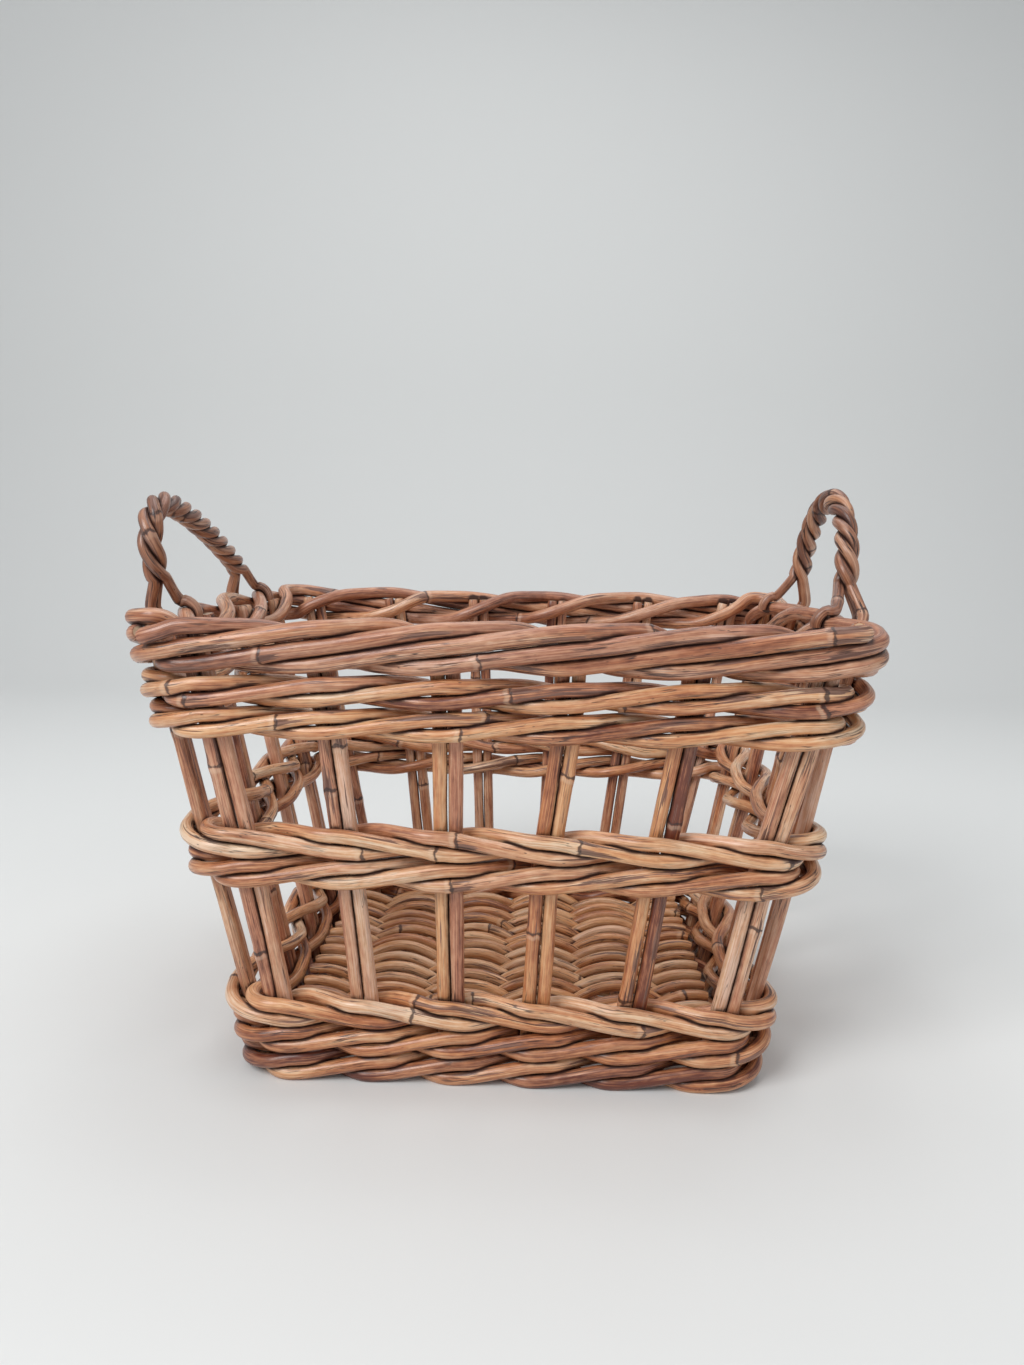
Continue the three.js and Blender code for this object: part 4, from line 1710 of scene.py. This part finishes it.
@dataclass
class Basket:
    """The whole basket: stakes, rows, border, handles and base."""

    line: StakeLine = StakeLine()
    weaver_radius: float = 2.85 * MM
    border_radius: float = 3.3 * MM
    cad_weaver_radius: float = 2.9 * MM
    cad_border_radius: float = 3.3 * MM
    touch_gap: float = 0.4 * MM
    rod_gap: float = 0.5 * MM
    border_rod_gap: float = 0.9 * MM
    border_slack: float = 0.15 * MM
    foot_wear: float = 0.4 * MM
    weaver_sides: int = 5
    border_meetings: dict[int, Meeting] = field(default_factory=lambda: {
        1: Meeting(
            -0.45, gap=0.08, start_spring=(2.5 * MM, -2.5 * MM), end_spring=(-2 * MM, 0.0)
        ),
        2: Meeting(
            5.42, gap=0.08, start_spring=(-2 * MM, 3 * MM), end_spring=(1 * MM, 2 * MM)
        ),
    })

    @property
    def level_step(self) -> float:
        """The height between two rods of a row."""
        return 2 * self.cad_weaver_radius + self.rod_gap

    @property
    def row_pitch(self) -> float:
        """The height between two rows."""
        return self.level_step + 2 * self.cad_weaver_radius + self.touch_gap

    @property
    def border_step(self) -> float:
        """The height between two rods of the border, which lie closely on each other."""
        return 2 * self.border_radius + self.border_slack

    @property
    def border_centre(self) -> float:
        """The height of the border's middle."""
        return self.line.rim_height - self.border_step - self.border_radius

    @property
    def rim_row_centre(self) -> float:
        """The height of the middle of the row under the border."""
        border_height = 2 * (2 * self.cad_border_radius + self.border_rod_gap)
        border_height += 2 * self.cad_border_radius
        return self.line.rim_height - border_height - self.row_pitch / 2

    def courses(self) -> list[Course]:
        """Return the rows from the foot to the border."""
        flat = self.cad_weaver_radius * math.cos(math.pi / self.weaver_sides)
        foot = self.level_step / 2 + flat - self.foot_wear
        rim = self.rim_row_centre
        middle = self.line.mid_band_height
        pitch = self.row_pitch
        up, down = Twist.RISING, Twist.FALLING
        rows = [
            ("foot_wale", foot, up, (0.9, 0.6, 0.8), (0.6, 0.8, 0.4)),
            ("lower_base_wale", foot + pitch, up, (0.5, 0.58, 0.66), (1.0, 0.9, 0.85)),
            ("upper_base_wale", foot + 2 * pitch, down, (0.26, 0.45, 0.36), (0.6, 0.9, 0.75)),
            ("lower_middle_wale", middle - pitch / 2, up, (0.42, 0.34, 0.52), (0.7, 0.5, 0.8)),
            ("upper_middle_wale", middle + pitch / 2, down, (0.34, 0.42, 0.3), (0.65, 0.45, 0.75)),
            ("lower_rim_wale", rim - pitch, up, (0.4, 0.3, 0.6), (0.85, 0.9, 0.6)),
            ("upper_rim_wale", rim, up, (0.38, 0.66, 0.3), (0.75, 0.35, 0.85)),
        ]
        made = []
        for number, (name, centre, twist, tones, warmths) in enumerate(rows):
            made.append(Course(
                name=name, slot="weaver_cane", centre=centre, rods=3, twist=twist,
                level_step=self.level_step, radius=self.weaver_radius,
                stake_radius=self.line.stake_radius, tones=tones, warmths=warmths,
                seed=100 * number,
            ))
        made.append(Course(
            name="rim_border", slot="border_cane", centre=self.border_centre, rods=4,
            twist=Twist.RISING, level_step=self.border_step, radius=self.border_radius,
            stake_radius=self.line.stake_radius, tones=(0.44, 0.54, 0.38, 0.5),
            warmths=(0.65, 0.45, 0.9, 0.6), seed=904, hump=1.04, stray=1.3 * MM,
            looseness=0.28, meetings=self.border_meetings,
        ))
        return made

    def canes(self) -> list[Cane]:
        """Return every rod of the basket, with all but the base's pressed into place."""
        courses = self.courses()
        shared = {"line": self.line, "border": courses[-1]}
        woven = Stakes(self.line).canes()
        for course in courses:
            woven += course.canes(self.line)
        woven += Handle(
            name="left", side=-1, front=-57 * MM, back=50 * MM, rise=31.4 * MM,
            skew=-39 * MM, pinch=0.3, **shared,
        ).canes()
        woven += Handle(
            name="right", side=1, front=-30 * MM, back=52 * MM, rise=38.4 * MM,
            skew=-3 * MM, pinch=0.1, **shared,
        ).canes()
        Press(woven).run()
        return woven + Base(self.line).canes()


FINISHES = [
    CaneFinish(
        slot="upright_cane", pale=srgb(228, 196, 168), honey=srgb(214, 168, 132),
        tan=srgb(188, 128, 94), umber=srgb(106, 52, 34), rose=(0.96, 0.88, 0.91),
        gold=(1.0, 0.83, 0.62), bark=0.55, marks=0.5, joint_pitch=120.0,
    ),
    CaneFinish(
        slot="weaver_cane", pale=srgb(234, 204, 172), honey=srgb(218, 168, 128),
        tan=srgb(188, 126, 88), umber=srgb(104, 48, 30), rose=(0.96, 0.86, 0.89),
        bark=0.6, joint_pitch=165.0,
    ),
    CaneFinish(
        slot="border_cane", pale=srgb(222, 186, 160), honey=srgb(200, 148, 116),
        tan=srgb(168, 110, 82), umber=srgb(96, 48, 32), rose=(0.96, 0.87, 0.90),
        bark=0.7, joint_pitch=150.0,
    ),
    CaneFinish(
        slot="handle_cane", pale=srgb(206, 168, 142), honey=srgb(184, 136, 108),
        tan=srgb(152, 102, 76), umber=srgb(86, 48, 36), rose=(0.97, 0.88, 0.90),
        bark=0.8, marks=0.9, joint_pitch=70.0,
    ),
    CaneFinish(
        slot="base_stick_cane", pale=srgb(210, 168, 130), honey=srgb(190, 140, 98),
        tan=srgb(156, 108, 74), umber=srgb(96, 56, 40), rose=(0.96, 0.87, 0.88),
    ),
    CaneFinish(
        slot="base_cane", pale=srgb(228, 188, 150), honey=srgb(210, 158, 114),
        tan=srgb(182, 122, 82), umber=srgb(98, 52, 36), rose=(0.96, 0.87, 0.90),
        bark=0.55, joint_pitch=190.0,
    ),
]


# The studio


@dataclass(frozen=True)
class Lamp:
    """A soft square lamp that faces the basket."""

    name: str
    place: tuple[float, float, float]
    size: float
    power: float
    aim: tuple[float, float, float] = (0.0, 0.0, 0.1)

    def hang(self) -> None:
        """Add the lamp to the scene."""
        light = bpy.data.lights.new(self.name, "AREA")
        light.size = self.size
        light.energy = self.power
        lamp = placed(self.name, light)
        lamp.location = self.place
        way = Vector(self.aim) - Vector(self.place)
        lamp.rotation_euler = way.to_track_quat("-Z", "Y").to_euler()


@dataclass(frozen=True)
class Studio:
    """The pale sweep that the basket stands on, the soft lamps and the camera.

    The camera's angles are in degrees. The room gives its light, and shows itself to the camera
    paler by its shown share.
    """

    camera_place: tuple[float, float, float] = (0.018, -0.469, 0.2233)
    yaw: float = -2.16
    pitch: float = 8.45
    roll: float = 0.765
    focal_pixels: float = 986.0
    frame_width: float = 1024.0
    sensor_width: float = 36.0
    clip_start: float = 0.01
    lamps: tuple[Lamp, ...] = (
        Lamp("key", place=(-0.9, -1.1, 1.35), size=0.9, power=22.0),
        Lamp("fill", place=(1.1, -0.8, 0.8), size=1.3, power=4.0),
        Lamp("top", place=(0.1, 0.3, 1.5), size=1.2, power=9.0),
    )
    paper: Colour = srgb(222, 223, 222)
    room: Colour = srgb(226, 230, 234)
    room_light: float = 0.42
    room_shown: float = 0.38
    sweep_half_width: float = 3.0
    sweep_front: float = -2.5
    sweep_back: float = 0.9
    sweep_height: float = 2.5
    sweep_bend: float = 0.5
    bend_steps: int = 12

    def build(self) -> None:
        """Make the sweep, the lamps, the world and the camera."""
        self._sweep()
        for lamp in self.lamps:
            lamp.hang()
        self._world()
        self._camera()

    def _sweep(self) -> None:
        """Make a floor that rises into a wall in one bend."""
        back, bend = self.sweep_back, self.sweep_bend
        outline = [(self.sweep_front, 0.0)]
        for step in range(self.bend_steps + 1):
            angle = math.pi / 2 * step / self.bend_steps
            outline.append((back + bend * math.sin(angle), bend * (1 - math.cos(angle))))
        outline.append((back + bend, self.sweep_height))
        sides = (-self.sweep_half_width, self.sweep_half_width)
        points = [(x, y, z) for y, z in outline for x in sides]
        faces = [(2 * i, 2 * i + 1, 2 * i + 3, 2 * i + 2) for i in range(len(outline) - 1)]
        mesh = bpy.data.meshes.new("sweep")
        mesh.from_pydata(points, [], faces)
        mesh.shade_smooth()
        mesh.materials.append(self._paper())
        placed("sweep", mesh)

    def _paper(self) -> bpy.types.Material:
        """Return the sweep's plain pale paper."""
        material = bpy.data.materials.new("pale_paper")
        graph = empty_graph(material)
        shader = graph.node("ShaderNodeBsdfPrincipled", None, {
            "Base Color": (*self.paper, 1.0), "Roughness": 0.9,
        })
        graph.node("ShaderNodeOutputMaterial", None, {"Surface": shader})
        return material

    def _world(self) -> None:
        """Light the room evenly, and show it as pale as the paper."""
        world = bpy.data.worlds.new("room")
        graph = empty_graph(world)
        seen = graph.node("ShaderNodeLightPath", output="Is Camera Ray")
        light = graph.node("ShaderNodeBackground", None, {
            "Color": (*self.room, 1.0), "Strength": self.room_light + seen * self.room_shown,
        })
        graph.node("ShaderNodeOutputWorld", None, {"Surface": light})
        bpy.context.scene.world = world

    def _camera(self) -> None:
        """Stand the camera where the photograph was taken."""
        yaw, pitch, roll = (math.radians(a) for a in (self.yaw, self.pitch, self.roll))
        forward = Vector((
            math.sin(yaw) * math.cos(pitch), math.cos(yaw) * math.cos(pitch), -math.sin(pitch),
        ))
        right = Vector((math.cos(yaw), -math.sin(yaw), 0))
        up = right.cross(forward)
        leaned_right = right * math.cos(roll) + up * math.sin(roll)
        leaned_up = up * math.cos(roll) - right * math.sin(roll)
        data = bpy.data.cameras.new("camera")
        data.sensor_fit = "HORIZONTAL"
        data.sensor_width = self.sensor_width
        data.lens = self.focal_pixels / self.frame_width * self.sensor_width
        data.clip_start = self.clip_start
        camera = placed("camera", data)
        turn = Matrix((leaned_right, leaned_up, -forward)).transposed().to_4x4()
        camera.matrix_world = Matrix.Translation(self.camera_place) @ turn
        bpy.context.scene.camera = camera


def main() -> None:
    """Build the studio and the basket, and note their sizes."""
    logging.basicConfig(level=logging.INFO, format="%(name)s: %(message)s")
    bpy.context.scene.view_settings.view_transform = "Standard"
    Studio().build()
    Dresser(FINISHES).dress(Basket().canes())


if __name__ == "__main__":
    main()
